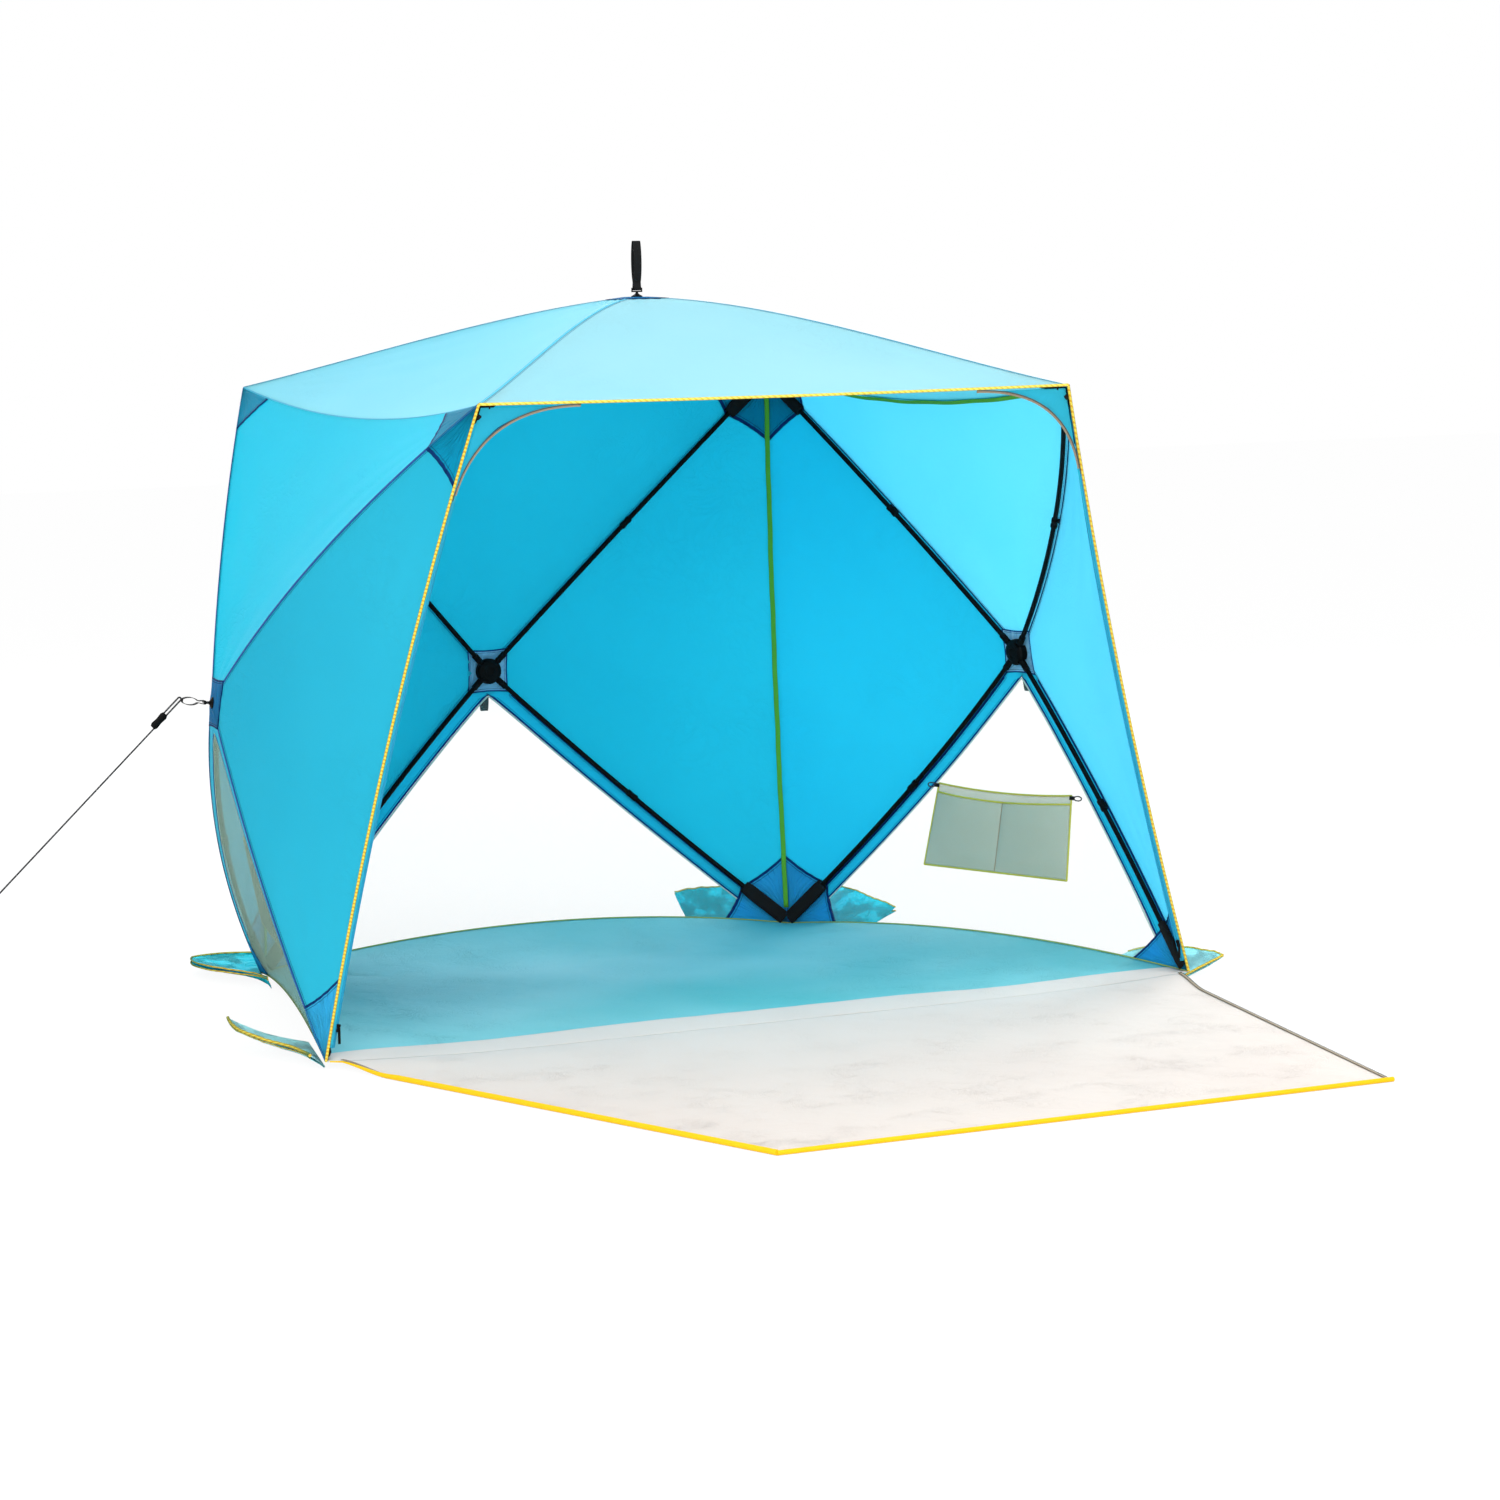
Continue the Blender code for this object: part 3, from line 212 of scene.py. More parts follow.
class GroupGraph(Graph):
    """A group's graph, with a method for each shared effect."""

    @cached_property
    def ins(self) -> Wire:
        """The group's inputs."""
        return self.add("NodeGroupInput")

    def weave(self) -> dict[str, Wire]:
        """Crossed threads on a flat pattern in metres.

        Returns:
            The threads' height, and the gaps between them.
        """
        split = self.add("SeparateXYZ", {0: self.ins["Vector"]})
        rate = self.math("DIVIDE", math.tau, self.ins["Pitch"])
        waves = [(split[axis] * rate * 0.5).math("SINE").math("ABSOLUTE") for axis in (0, 1)]
        return {"Height": self.math("MAXIMUM", *waves), "Gap": self.math("MINIMUM", *waves)}

    def crumple(self) -> dict[str, Wire]:
        """Soft waves and sharp creases of thin coated cloth.

        Returns:
            The height, and a mask of the creases.
        """
        vector, scale = self.ins["Vector"], self.ins["Scale"]
        soft = self.add("TexNoise", {"Vector": vector, "Scale": scale * 5.0, "Detail": 3.0,
                                     "Distortion": 0.6})
        shift = self.add("VectorMath", {0: soft["Color"], "Scale": 0.09}, operation="SCALE")
        bent = self.add("VectorMath", {0: vector, 1: soft["Color"], 2: shift},
                        operation="MULTIPLY_ADD")
        cells = self.add("TexVoronoi", {"Vector": bent, "Scale": scale * 7.0},
                         feature="DISTANCE_TO_EDGE")
        strong = (self.noise(vector, scale * 2.1) - 0.42).math("MAXIMUM", 0.0) * 4.0
        crease = self.band(cells, 0.0, 0.09) * strong.math("MINIMUM", 1.0)
        return {"Height": crease.math("MULTIPLY_ADD", -0.35, soft), "Crease": crease}

    def stitches(self) -> dict[str, Wire]:
        """A row of thread dashes at a set distance from an edge.

        Returns:
            A mask of the dashes.
        """
        off = (self.ins["Across"] - self.ins["Place"]).math("ABSOLUTE")
        phase = (self.ins["Along"] / 0.0036).math("FRACT")
        return {"Thread": self.band(off, 0.0005, 0.0004) * self.band(phase, 0.62, 0.12)}

    def pucker(self) -> dict[str, Wire]:
        """Small gathers that run off a sewn edge and die out in the cloth.

        Returns:
            The gathers' height.
        """
        rates = self.add("CombineXYZ", {0: self.ins["Across"], 1: self.ins["Along"], 2: 1.0})
        spread = self.add("VectorMath", {0: self.ins["Vector"], 1: rates}, operation="MULTIPLY")
        near = self.band(self.ins["Distance"], 0.002, 0.055)
        return {"Height": self.noise(spread, 1.0, 1.0) * near.math("POWER", 2.0)}

    def grain(self) -> dict[str, Wire]:
        """The fine spark-eroded grain of moulded nylon, with scuffs.

        Returns:
            The height, and a mask of the scuffs.
        """
        scuff = (self.noise(self.ins["Vector"], 90.0, 5.0) - 0.55) * 4.0
        return {"Height": self.noise(self.ins["Vector"], 1400.0),
                "Scuff": scuff.math("MAXIMUM", 0.0)}


class Effect(Enum):
    """The shared effects: what draws each, and its inputs with their first values."""

    WEAVE = (GroupGraph.weave, {"Vector": None, "Pitch": 0.002})
    CRUMPLE = (GroupGraph.crumple, {"Vector": None, "Scale": 1.0})
    STITCHES = (GroupGraph.stitches, {"Along": 0.0, "Across": 1.0, "Place": 0.005})
    PUCKER = (GroupGraph.pucker, {"Vector": None, "Across": 7.0, "Along": 95.0, "Distance": 1.0})
    GRAIN = (GroupGraph.grain, {"Vector": None})


# Finishes


@dataclass(frozen=True)
class Cloth:
    """Coated polyester: weave, crumple, painted crease shade, a stitched and taped rim, and light
    let through.
    """

    slot: str
    colour: Colour
    shade: Colour
    rim: Colour = (0, 0, 0)
    rim_width: float = 0.0
    through: float = 0.45
    crumple_scale: float = 1.6
    crumple_depth: float = 0.0014
    roughness: float = 0.56
    # How strongly painted shade darkens the creases.
    wear: float = 0.05
    radial: float = 0.0
    pucker: tuple[float, float] = (7.0, 95.0)
    pitch: float = 0.0016
    stitch_inset: float = 0.004

    def paint(self, graph: Graph) -> Wire:
        """Draws the cloth.

        Args:
            graph: The material's graph.

        Returns:
            The surface.
        """
        axes = graph.add("SeparateXYZ", {0: graph.flat})
        crumple = graph.group(Effect.CRUMPLE, Vector=graph.where, Scale=self.crumple_scale)
        weave = graph.group(Effect.WEAVE, Vector=graph.flat, Pitch=self.pitch)
        share = graph.ramp(graph.noise(graph.where, 1.3), 0.35, 0.65)
        colour = graph.mix(share, rgba(self.colour), rgba(self.shade))
        # Painted shade: the creases are darkened towards a deeper shade colour.
        colour = graph.mix(crumple["Crease"] * self.wear, colour, rgba(self.shade, 0.72))
        height = crumple["Height"] * self.crumple_depth + weave["Height"] * 0.00012
        if self.rim_width:
            band = graph.band(graph.rim, self.rim_width, 0.0006)
            thread = graph.group(Effect.STITCHES, Along=axes[1], Across=graph.rim,
                                 Place=self.rim_width + self.stitch_inset)
            pucker = graph.group(Effect.PUCKER, Vector=graph.flat, Across=self.pucker[0],
                                 Along=self.pucker[1], Distance=graph.rim)
            for mask in (band, thread):
                colour = graph.mix(mask, colour, rgba(self.rim))
            height = height + band * 0.0006 + thread * 0.0005 + pucker * 0.0030
        if self.radial:
            length = (axes[1] * axes[1] + axes[0] * axes[0]).math("SQRT")
            fan = graph.add("CombineXYZ", {0: axes[1].math("ARCTAN2", axes[0]) * self.radial,
                                           1: length * 4.0})
            height = height + graph.noise(fan, 2.0) * 0.0120
        normal = graph.bump(height, 0.9, 1.0)
        front = graph.shader(colour, normal, {"Roughness": self.roughness, SPECULAR: 0.06})
        if not self.through:
            return front
        behind = graph.add("BsdfTranslucent", {"Color": colour, "Normal": normal})
        return graph.add("MixShader", {0: self.through, 1: front, 2: behind})


@dataclass(frozen=True)
class Netting:
    """Open netting: threads that show and holes that don't."""

    slot: str
    colour: Colour
    base_cover: float
    cover: float
    pitch: float = 0.0024
    hem: float = 0.004

    def paint(self, graph: Graph) -> Wire:
        """Draws the netting.

        Args:
            graph: The material's graph.

        Returns:
            The surface.
        """
        weave = graph.group(Effect.WEAVE, Vector=graph.flat, Pitch=self.pitch)
        thread = graph.band(weave["Gap"], 0.25, 0.1)
        thread = thread.math("MULTIPLY_ADD", self.cover, self.base_cover)
        alpha = thread.math("MAXIMUM", graph.band(graph.rim, self.hem, 0.0008))
        colour = graph.mix(graph.noise(graph.flat, 3.0), rgba(self.colour),
                           rgba(self.colour, 1.15))
        normal = graph.bump(weave["Height"], 0.4, 0.0002)
        return graph.shader(colour, normal, {"Roughness": 0.8, "Alpha": alpha})


@dataclass(frozen=True)
class Webbing:
    """Woven tape: ribs and a fine thread with painted highlights, and on piping a fleck and
    painted shade at its edges.
    """

    slot: str
    colour: Colour
    fleck: Colour | None = None
    # The colour of painted shade where piping turns away from the view.
    edge: Colour | None = None
    rib: float = 0.0016
    fleck_pitch: float = 0.009

    def paint(self, graph: Graph) -> Wire:
        """Draws the tape.

        Args:
            graph: The material's graph.

        Returns:
            The surface.
        """
        weave = graph.group(Effect.WEAVE, Vector=graph.flat, Pitch=self.rib)
        fibre = graph.noise(graph.where, 420.0)
        # Painted highlight: the raised threads are paler.
        colour = graph.mix(weave["Height"] * fibre, rgba(self.colour),
                           rgba(self.colour, 1.3, 0.004))
        if self.fleck:
            axes = graph.add("SeparateXYZ", {0: graph.flat})
            phase = ((axes[0] * 0.6 + axes[1]) / self.fleck_pitch).math("FRACT")
            colour = graph.mix(graph.band(phase, 0.34, 0.1), colour, rgba(self.fleck))
        # Painted shade: piping takes the edge colour where its surface turns away from the view.
        if self.edge:
            away = graph.add("LayerWeight", {"Blend": 0.5})["Facing"]
            colour = graph.mix(graph.ramp(away, 0.3, 0.75), colour, rgba(self.edge))
        height = fibre.math("MULTIPLY_ADD", 0.3, weave["Height"])
        return graph.shader(colour, graph.bump(height, 0.8, 0.0004),
                            {"Roughness": 0.85, SPECULAR: 0.25})


@dataclass(frozen=True)
class Moulded:
    """Moulded or drawn plastic with a fine grain and scuffs."""

    slot: str
    colour: Colour
    roughness: float

    def paint(self, graph: Graph) -> Wire:
        """Draws the plastic.

        Args:
            graph: The material's graph.

        Returns:
            The surface.
        """
        grain = graph.group(Effect.GRAIN, Vector=graph.where)
        colour = graph.mix(grain["Scuff"], rgba(self.colour), rgba(self.colour, 1.6, 0.004))
        rough = grain["Scuff"].math("MULTIPLY_ADD", 0.2, self.roughness)
        return graph.shader(colour, graph.bump(grain["Height"], 0.5, 0.00006),
                            {"Roughness": rough, SPECULAR: 0.1})


@dataclass(frozen=True)
class Braid:
    """Braided cord with a fleck."""

    slot: str
    colour: Colour
    fleck: Colour

    def paint(self, graph: Graph) -> Wire:
        """Draws the cord.

        Args:
            graph: The material's graph.

        Returns:
            The surface.
        """
        weave = graph.group(Effect.WEAVE, Vector=graph.where, Pitch=0.0022)
        spots = graph.add("TexVoronoi", {"Vector": graph.where, "Scale": 260.0})
        colour = graph.mix(graph.band(spots, 0.16, 0.05), rgba(self.colour), rgba(self.fleck))
        return graph.shader(colour, graph.bump(weave["Height"], 0.8, 0.0004), {"Roughness": 0.8})


NAVY = (18, 72, 140)
SEAM = (74, 176, 206)
roof_cloth = partial(Cloth, "shell_cloth", rim=SEAM, rim_width=0.0012)
wall_cloth = partial(Cloth, "shell_cloth", rim=NAVY, rim_width=0.0018, through=0.5)
patch_cloth = partial(Cloth, "patch_cloth", rim=NAVY, crumple_scale=5.0, radial=5.0)
corner_cloth = partial(patch_cloth, through=0.5, pucker=(110.0, 5.0))
sand_cloth = partial(Cloth, "sand_pocket_cloth")
ground_cloth = partial(Cloth, through=0.0)


class Finish(Enum):
    """Every finish of the shelter."""

    # Painted light: the roof is a paler copy of the shell cloth, and its front gore is paler
    # still.
    ROOF = roof_cloth((150, 228, 239), (138, 223, 238))
    ROOF_FRONT = roof_cloth((186, 233, 240), (176, 230, 239))
    WALL = wall_cloth((58, 206, 228), (50, 200, 224))
    # Painted shade and light on one wall cloth: the back wall's copy is darker and more teal, the
    # sunlit and skylit copies are paler.
    WALL_PAINTED_SHADE = wall_cloth((57, 204, 223), (49, 198, 218))
    WALL_SUNLIT = wall_cloth((146, 235, 252), (136, 232, 251))
    WALL_SKYLIT = wall_cloth((44, 224, 244), (34, 218, 240))
    STRIP = wall_cloth((58, 206, 228), (50, 200, 224), rim_width=0.0050)
    # Painted light: the inner hub patch is a far paler copy of the patch cloth.
    HUB_PATCH_INSIDE_PAINTED_LIGHT = patch_cloth((150, 216, 250), (136, 208, 248), rim_width=0.0036, through=0.1)
    HUB_PATCH = patch_cloth((58, 168, 220), (46, 156, 212), rim_width=0.0040, through=0.65)
    # Painted shade: the top corners' patches are a darker, more teal copy of the corner patch
    # cloth.
    PATCH_TOP = corner_cloth((18, 188, 222), (8, 164, 204), rim_width=0.0070)
    PATCH = corner_cloth((66, 204, 246), (52, 190, 242), rim_width=0.0050)
    GUSSET = Cloth("gusset_cloth", (60, 202, 226), (50, 190, 218), NAVY, 0.003, through=0.4,
                   crumple_scale=4.0, pucker=(90.0, 6.0))
    # Painted shade: the floor is coloured teal for the blue-tinted shade under the canopy.
    FLOOR = ground_cloth("floor_sheet", (138, 205, 211), (98, 187, 193), crumple_scale=3.2,
                         crumple_depth=0.003, roughness=0.62)
    DOOR = ground_cloth("door_cloth", (219, 210, 203), (216, 206, 199), crumple_scale=3.0,
                        crumple_depth=0.0020, roughness=0.7, wear=0.0)
    SAND = sand_cloth((44, 248, 255), (20, 226, 242), through=0.5, crumple_scale=9.0,
                      crumple_depth=0.013, wear=0.35)
    # Painted light: the front pockets take a much paler copy of the sand pocket cloth.
    SAND_PAINTED_LIGHT = sand_cloth((196, 252, 255), (172, 248, 252), through=0.3, crumple_scale=8.0,
                           crumple_depth=0.008, wear=0.15)
    WINDOW = Netting("window_mesh", (176, 196, 190), 0.04, 0.09)
    WINDOW_SHADED = Netting("window_mesh", (130, 164, 146), 0.33, 0.20)
    POCKET = Netting("pocket_mesh", (190, 196, 178), 0.45, 0.45)
    POCKET_SHADED = Netting("pocket_mesh", (44, 52, 40), 0.68, 0.30)
    SEAM_TAPE = Webbing("shell_cloth", SEAM)
    NAVY_TAPE = Webbing("patch_cloth", NAVY)
    YELLOW_TAPE = Webbing("door_cloth", (230, 184, 10))
    PIPING = Webbing("door_cloth", (214, 194, 74), (206, 156, 34), (84, 112, 42))
    # Painted shade: the right and back sills take a darker, greener copy of the piping.
    SILL_PIPING_PAINTED_SHADE = Webbing("door_cloth", (150, 172, 92), edge=(62, 122, 104))
    # Painted light: the top front edge takes a paler copy of the piping.
    PIPING_PAINTED_LIGHT = Webbing("door_cloth", (236, 212, 96), (222, 190, 62), (190, 158, 48))
    GREEN_TAPE = Webbing("pocket_mesh", (84, 158, 44))
    BINDING = Webbing("pocket_mesh", (186, 180, 70))
    LEG_TAPE = Webbing("gusset_cloth", (32, 140, 178))
    ZIP_TAPE = Webbing("door_cloth", (146, 132, 112))
    BLACK_TAPE = Webbing("strap_webbing", (4, 4, 5))
    NYLON = Moulded("hub_nylon", (3, 3, 4), 0.6)
    ROD = Moulded("pole_fibreglass", (3, 3, 4), 0.6)
    COIL = Moulded("hub_nylon", (80, 84, 82), 0.4)
    CORD = Braid("guy_cord", (34, 34, 36), (150, 152, 150))


class Palette:
    """Builds each shared group and each finish's material when it is first asked for."""

    def __init__(self) -> None:
        """Starts with nothing made."""
        self.groups: dict[Effect, bpy.types.NodeTree] = {}
        self.materials: dict[Finish, bpy.types.Material] = {}

    def group(self, effect: Effect) -> bpy.types.NodeTree:
        """The node group of an effect.

        Args:
            effect: The effect.

        Returns:
            Its group, whose inputs are vectors where they have no first value.
        """
        if effect not in self.groups:
            draw, inputs = effect.value
            tree = bpy.data.node_groups.new(effect.name.lower(), "ShaderNodeTree")
            for label, value in inputs.items():
                kind = "NodeSocketVector" if value is None else "NodeSocketFloat"
                socket = tree.interface.new_socket(label, in_out="INPUT", socket_type=kind)
                socket.default_value = (0, 0, 0) if value is None else value
            graph = GroupGraph(tree)
            outputs = draw(graph)
            for label in outputs:
                tree.interface.new_socket(label, in_out="OUTPUT", socket_type="NodeSocketFloat")
            graph.add("NodeGroupOutput", outputs)
            self.groups[effect] = tree
        return self.groups[effect]

    def get(self, finish: Finish) -> bpy.types.Material:
        """The material of a finish.

        Args:
            finish: The finish.

        Returns:
            Its material.
        """
        if finish not in self.materials:
            material = bpy.data.materials.new(finish.name.lower())
            material.use_nodes = True
            graph = Graph(material.node_tree, self)
            graph.add("OutputMaterial", {"Surface": finish.value.paint(graph)})
            self.materials[finish] = material
        return self.materials[finish]


# Pieces and shapes


@dataclass(frozen=True)
class Bend:
    """A hub body and a bend's start and end points; a piece given one stays fixed in the shell's
    frame.
    """

    hub_body: str
    start: Vector
    end: Vector


@dataclass
class Workshop:
    """Makes finished pieces out of shapes, and puts them on their bodies."""

    palette: Palette = field(default_factory=Palette)
    root: str = "shell"
    count: int = 0

    def piece(self, name: str, shape: Shape, finish: Finish, carrier: str | Bend,
              replaces: Sequence[str] = (), thickness: float = 0.0,
              outward: Vector | None = None, smooth_angle: float = 40.0) -> bpy.types.Object:
        """Turns a shape into a piece that rides on a body, or stays fixed in place where a bend is
        given.

        Args:
            name: The piece's name.
            shape: Its shape in the shelter's frame; it is freed.
            finish: What it is made of.
            carrier: The body that it rides on, or a bend, which leaves it fixed in place.
            replaces: The CAD nodes that it stands for.
            thickness: The cloth's thickness, where the shape is one layer.
            outward: The side on which the thickness grows, for one layer.
            smooth_angle: Edges under this many degrees are shaded smooth.

        Returns:
            The piece.
        """
        bmesh.ops.remove_doubles(shape, verts=shape.verts, dist=1e-6)
        bmesh.ops.recalc_face_normals(shape, faces=shape.faces)
        if outward is not None:
            facing = sum((face.normal * face.calc_area() for face in shape.faces), Vector())
            if facing.dot(outward) < 0:
                bmesh.ops.reverse_faces(shape, faces=shape.faces)
        data = bpy.data.meshes.new(name)
        shape.to_mesh(data)
        shape.free()
        data.materials.append(self.palette.get(finish))
        data.shade_smooth()
        data.set_sharp_from_angle(angle=math.radians(smooth_angle))
        made = bpy.data.objects.new(name, data)
        bpy.context.scene.collection.objects.link(made)
        if isinstance(carrier, Bend):
            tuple(carrier.start)
            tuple(carrier.end)
            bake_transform(made)
        else:
            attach(made, carrier)
        if thickness:
            skin = made.modifiers.new("cloth thickness", "SOLIDIFY")
            skin.thickness = thickness
            skin.offset = 1.0
        if replaces:
            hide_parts(*replaces)
        self.count += 1
        LOG.info("piece %s: %d faces, %s", name, len(data.polygons), finish.name.lower())
        return made

    def rod(self, name: str, points: Sequence[Vector], radius: float, finish: Finish,
            carrier: str | Bend, replaces: Sequence[str] = (), resolution: int = 2,
            radii: Sequence[float] = ()) -> bpy.types.Object:
        """Makes a round rod, cord or piping along points, as a closed piece.

        Args:
            name: The piece's name.
            points: The centreline.
            radius: The rod's radius.
            finish: What it is made of.
            carrier: The body that it rides on, or a bend, which leaves it fixed in place.
            replaces: The CAD nodes that it stands for.
            resolution: The curve's bevel resolution.
            radii: A share of the radius at each point, if it changes.

        Returns:
            The piece.
        """
        curve = bpy.data.curves.new(name, "CURVE")
        curve.dimensions = "3D"
        curve.bevel_depth = radius
        curve.bevel_resolution = resolution
        curve.use_fill_caps = True
        spline = curve.splines.new("POLY")
        spline.points.add(len(points) - 1)
        for knot, point, share in zip(spline.points, points, radii or [1.0] * len(points)):
            knot.co = (*point, 1.0)
            knot.radius = share
        holder = bpy.data.objects.new(name, curve)
        skin = bpy.data.meshes.new_from_object(holder)
        shape = bmesh.new()
        shape.from_mesh(skin)
        bpy.data.objects.remove(holder)
        bpy.data.curves.remove(curve)
        bpy.data.meshes.remove(skin)
        flat = shape.loops.layers.uv.get("cloth") or shape.loops.layers.uv.new("cloth")
        for face in shape.faces:
            for loop in face.loops:
                loop[flat].uv = (loop.vert.co.x + loop.vert.co.y, loop.vert.co.z)
        return self.piece(name, shape, finish, carrier, replaces)

    def paint(self, name: str, finish: Finish) -> bpy.types.Object:
        """Gives a CAD node that stays in view its finish.

        Args:
            name: The node's name.
            finish: What it is made of.

        Returns:
            The node's object.
        """
        node = bpy.data.objects[name]
        node.data.materials.clear()
        node.data.materials.append(self.palette.get(finish))
        return node


@dataclass
class Assembly:
    """A part of the shelter that makes its own pieces in a workshop."""

    shop: Workshop


def grid(place: Spread, columns: int, rows: int, size: tuple[float, float],
         rim: Callable[[float, float], float] | None = None, mesh: Shape | None = None) -> Shape:
    """A grid shaped by a function, with its flat size as UVs and a rim distance.

    Args:
        place: Gives a point for two shares from 0 to 1, across and along.
        columns: Faces across.
        rows: Faces along.
        size: The flat width and length in metres, for the weave.
        rim: Gives the distance to the taped edge, for the same two shares.
        mesh: The shape to add to, or none for a new one.

    Returns:
        The shape.
    """
    mesh = mesh or bmesh.new()
    flat = mesh.loops.layers.uv.get("cloth") or mesh.loops.layers.uv.new("cloth")
    edge = mesh.verts.layers.float.get("rim") or mesh.verts.layers.float.new("rim")
    made = bmesh.ops.create_grid(mesh, x_segments=columns, y_segments=rows, size=0.5)
    spots = {vert: (vert.co.x + 0.5, vert.co.y + 0.5) for vert in made["verts"]}
    for face in {face for vert in spots for face in vert.link_faces}:
        for loop in face.loops:
            across, along = spots[loop.vert]
            loop[flat].uv = (across * size[0], along * size[1])
    for vert, (across, along) in spots.items():
        vert.co = place(across, along)
        vert[edge] = rim(across, along) if rim else 1.0
    return mesh


def ribbon(centre: Path, across: Path, width: float, steps: int, length: float,
           columns: int = 2) -> Shape:
    """A flat tape along a path, as one layer.

    Args:
        centre: The path, for a share from 0 to 1.
        across: The unit direction of the tape's width there.
        width: The tape's width.
        steps: Faces along.
        length: The tape's length, for its weave.
        columns: Faces across.

    Returns:
        The shape.
    """
    return grid(lambda a, b: centre(b) + across(b) * (a - 0.5) * width, columns, steps,
                (width, length))


def turned(profile: Sequence[tuple[float, float]], frame: Matrix, steps: int = 24) -> Shape:
    """A turned shape about a frame's Z.

    Args:
        profile: Points as (radius, height), from axis to axis.
        frame: Where it stands.
        steps: Faces round.

    Returns:
        The closed shape.
    """
    mesh = bmesh.new()
    verts = [mesh.verts.new((radius, 0.0, height)) for radius, height in profile]
    edges = [mesh.edges.new(pair) for pair in zip(verts, verts[1:])]
    bmesh.ops.spin(mesh, geom=verts + edges, cent=(0, 0, 0), axis=(0, 0, 1), angle=math.tau,
                   steps=steps, use_merge=True)
    bmesh.ops.remove_doubles(mesh, verts=mesh.verts, dist=1e-6)
    bmesh.ops.transform(mesh, matrix=frame, verts=mesh.verts)
    return mesh


def block(frame: Matrix, size: Sequence[float], round_edges: float,
          mesh: Shape | None = None) -> Shape:
    """A box with rounded edges at a frame's origin.

    Args:
        frame: Where it stands.
        size: Its three sides.
        round_edges: The width of its rounding.
        mesh: The shape to add to, or none for a new one.

    Returns:
        The shape.
    """
    mesh = mesh or bmesh.new()
    made = bmesh.ops.create_cube(mesh, size=1.0, matrix=Matrix.Diagonal((*size, 1.0)))
    edges = list({edge for vert in made["verts"] for edge in vert.link_edges})
    bevelled = bmesh.ops.bevel(mesh, geom=edges, offset=round_edges, segments=3,
                               affect="EDGES", profile=0.5, material=-1)
    verts = list({vert for face in bevelled["faces"] for vert in face.verts} | {
        vert for vert in made["verts"] if vert.is_valid})
    bmesh.ops.transform(mesh, matrix=frame, verts=verts)
    return mesh


def joined(parts: Sequence[Shape]) -> Shape:
    """Puts several shapes into one, and frees them.

    Args:
        parts: The shapes.

    Returns:
        One shape.
    """
    whole = bmesh.new()
    for part in parts:
        data = bpy.data.meshes.new("part")
        part.to_mesh(data)
        part.free()
        whole.from_mesh(data)
        bpy.data.meshes.remove(data)
    return whole


def axes_at(origin: Vector, x_axis: Vector, z_axis: Vector) -> Matrix:
    """Makes a frame at a point.

    Args:
        origin: The point.
        x_axis: The frame's X direction.
        z_axis: A direction near its Z.

    Returns:
        The frame.
    """
    x_unit = x_axis.normalized()
    y_unit = z_axis.cross(x_unit).normalized()
    turn = Matrix((x_unit, y_unit, x_unit.cross(y_unit))).transposed().to_4x4()
    return Matrix.Translation(origin) @ turn


# The shelter's outline and its sprung faces


@dataclass(frozen=True)
class Outline:
    """The cloth's corners, in metres, and how its edges leave the straight line."""

    front_half_width: float = 1.10
    back_half_width: float = 0.735
    half_depth: float = 0.69
    top_front: tuple[float, float, float] = (0.736, -0.78, 1.424)
    top_back: tuple[float, float, float] = (0.72, 0.715, 1.45)
    front_foot_height: float = 0.018
    back_foot_height: float = 0.004
    side_sill_lift: float = 0.038
    back_sill_lift: float = 0.062
    front_edge_drop: float = 0.004
    roof_seam_drop: float = 0.052
    leg_spread: float = 0.007
    leg_draw_back: float = 0.048
    rear_seam_draw_in: float = 0.014
    sill_reach: float = 0.24
    sewn: float = 0.002

    def corner(self, name: str) -> Vector:
        """Looks up a corner of the cloth.

        Args:
            name: The corner, such as front_left_low.

        Returns:
            Its place.
        """
        end, side, level = name.split("_")
        x, y, z = {
            "front_low": (self.front_half_width, -self.half_depth, self.front_foot_height),
            "front_top": self.top_front, "back_top": self.top_back,
            "back_low": (self.back_half_width, self.half_depth, self.back_foot_height),
        }[f"{end}_{level}"]
        return Vector((-x if side == "left" else x, y, z))

    def sag(self, first: str, second: str) -> Vector:
        """How far the middle of the edge between two corners leaves the straight line.

        Args:
            first: The corner where the edge starts.
            second: The corner where it ends.

        Returns:
            The distance as a vector.
        """
        side = -1 if "left" in first else 1
        same_side = ("left" in first) == ("left" in second)
        if first.endswith("low") and second.endswith("low"):
            return UP * (self.side_sill_lift if same_side else self.back_sill_lift)
        if first.endswith("top") and second.endswith("top"):
            front = first.startswith("front") and second.startswith("front")
            return UP * -(self.front_edge_drop if front else self.roof_seam_drop)
        if first.startswith("front"):
            return Vector((side * self.leg_spread, self.leg_draw_back, 0))
        return Vector((-side * self.rear_seam_draw_in, -self.rear_seam_draw_in, 0))

    def edge(self, first: str, second: str, share: float) -> Vector:
        """A point on the edge between two corners."""
        straight = self.corner(first).lerp(self.corner(second), share)
        return straight + self.sag(first, second) * 4 * share * (1 - share)

    def near_sill(self, share: float) -> float:
        """How far cloth on the ground follows a sill upwards, at a share away from it."""
        return max(0.0, 1 - share / self.sill_reach) ** 2

    def foot_rise(self, a: float) -> float:
        """How far the cloth at the front is drawn up to the two front feet."""
        return (self.front_foot_height - self.sewn) * (self.near_sill(a) + self.near_sill(1 - a))


OUTLINE = Outline()
SILL = 3
BOWS = {"side": {"front_low": 0.014, "front_top": 0.045, "back_top": 0.010, "back_low": 0.042},
        "back": {"back_low": 0.042, "back_top": 0.010},
        "roof": {"front_top": 0.024, "back_top": 0.014}}


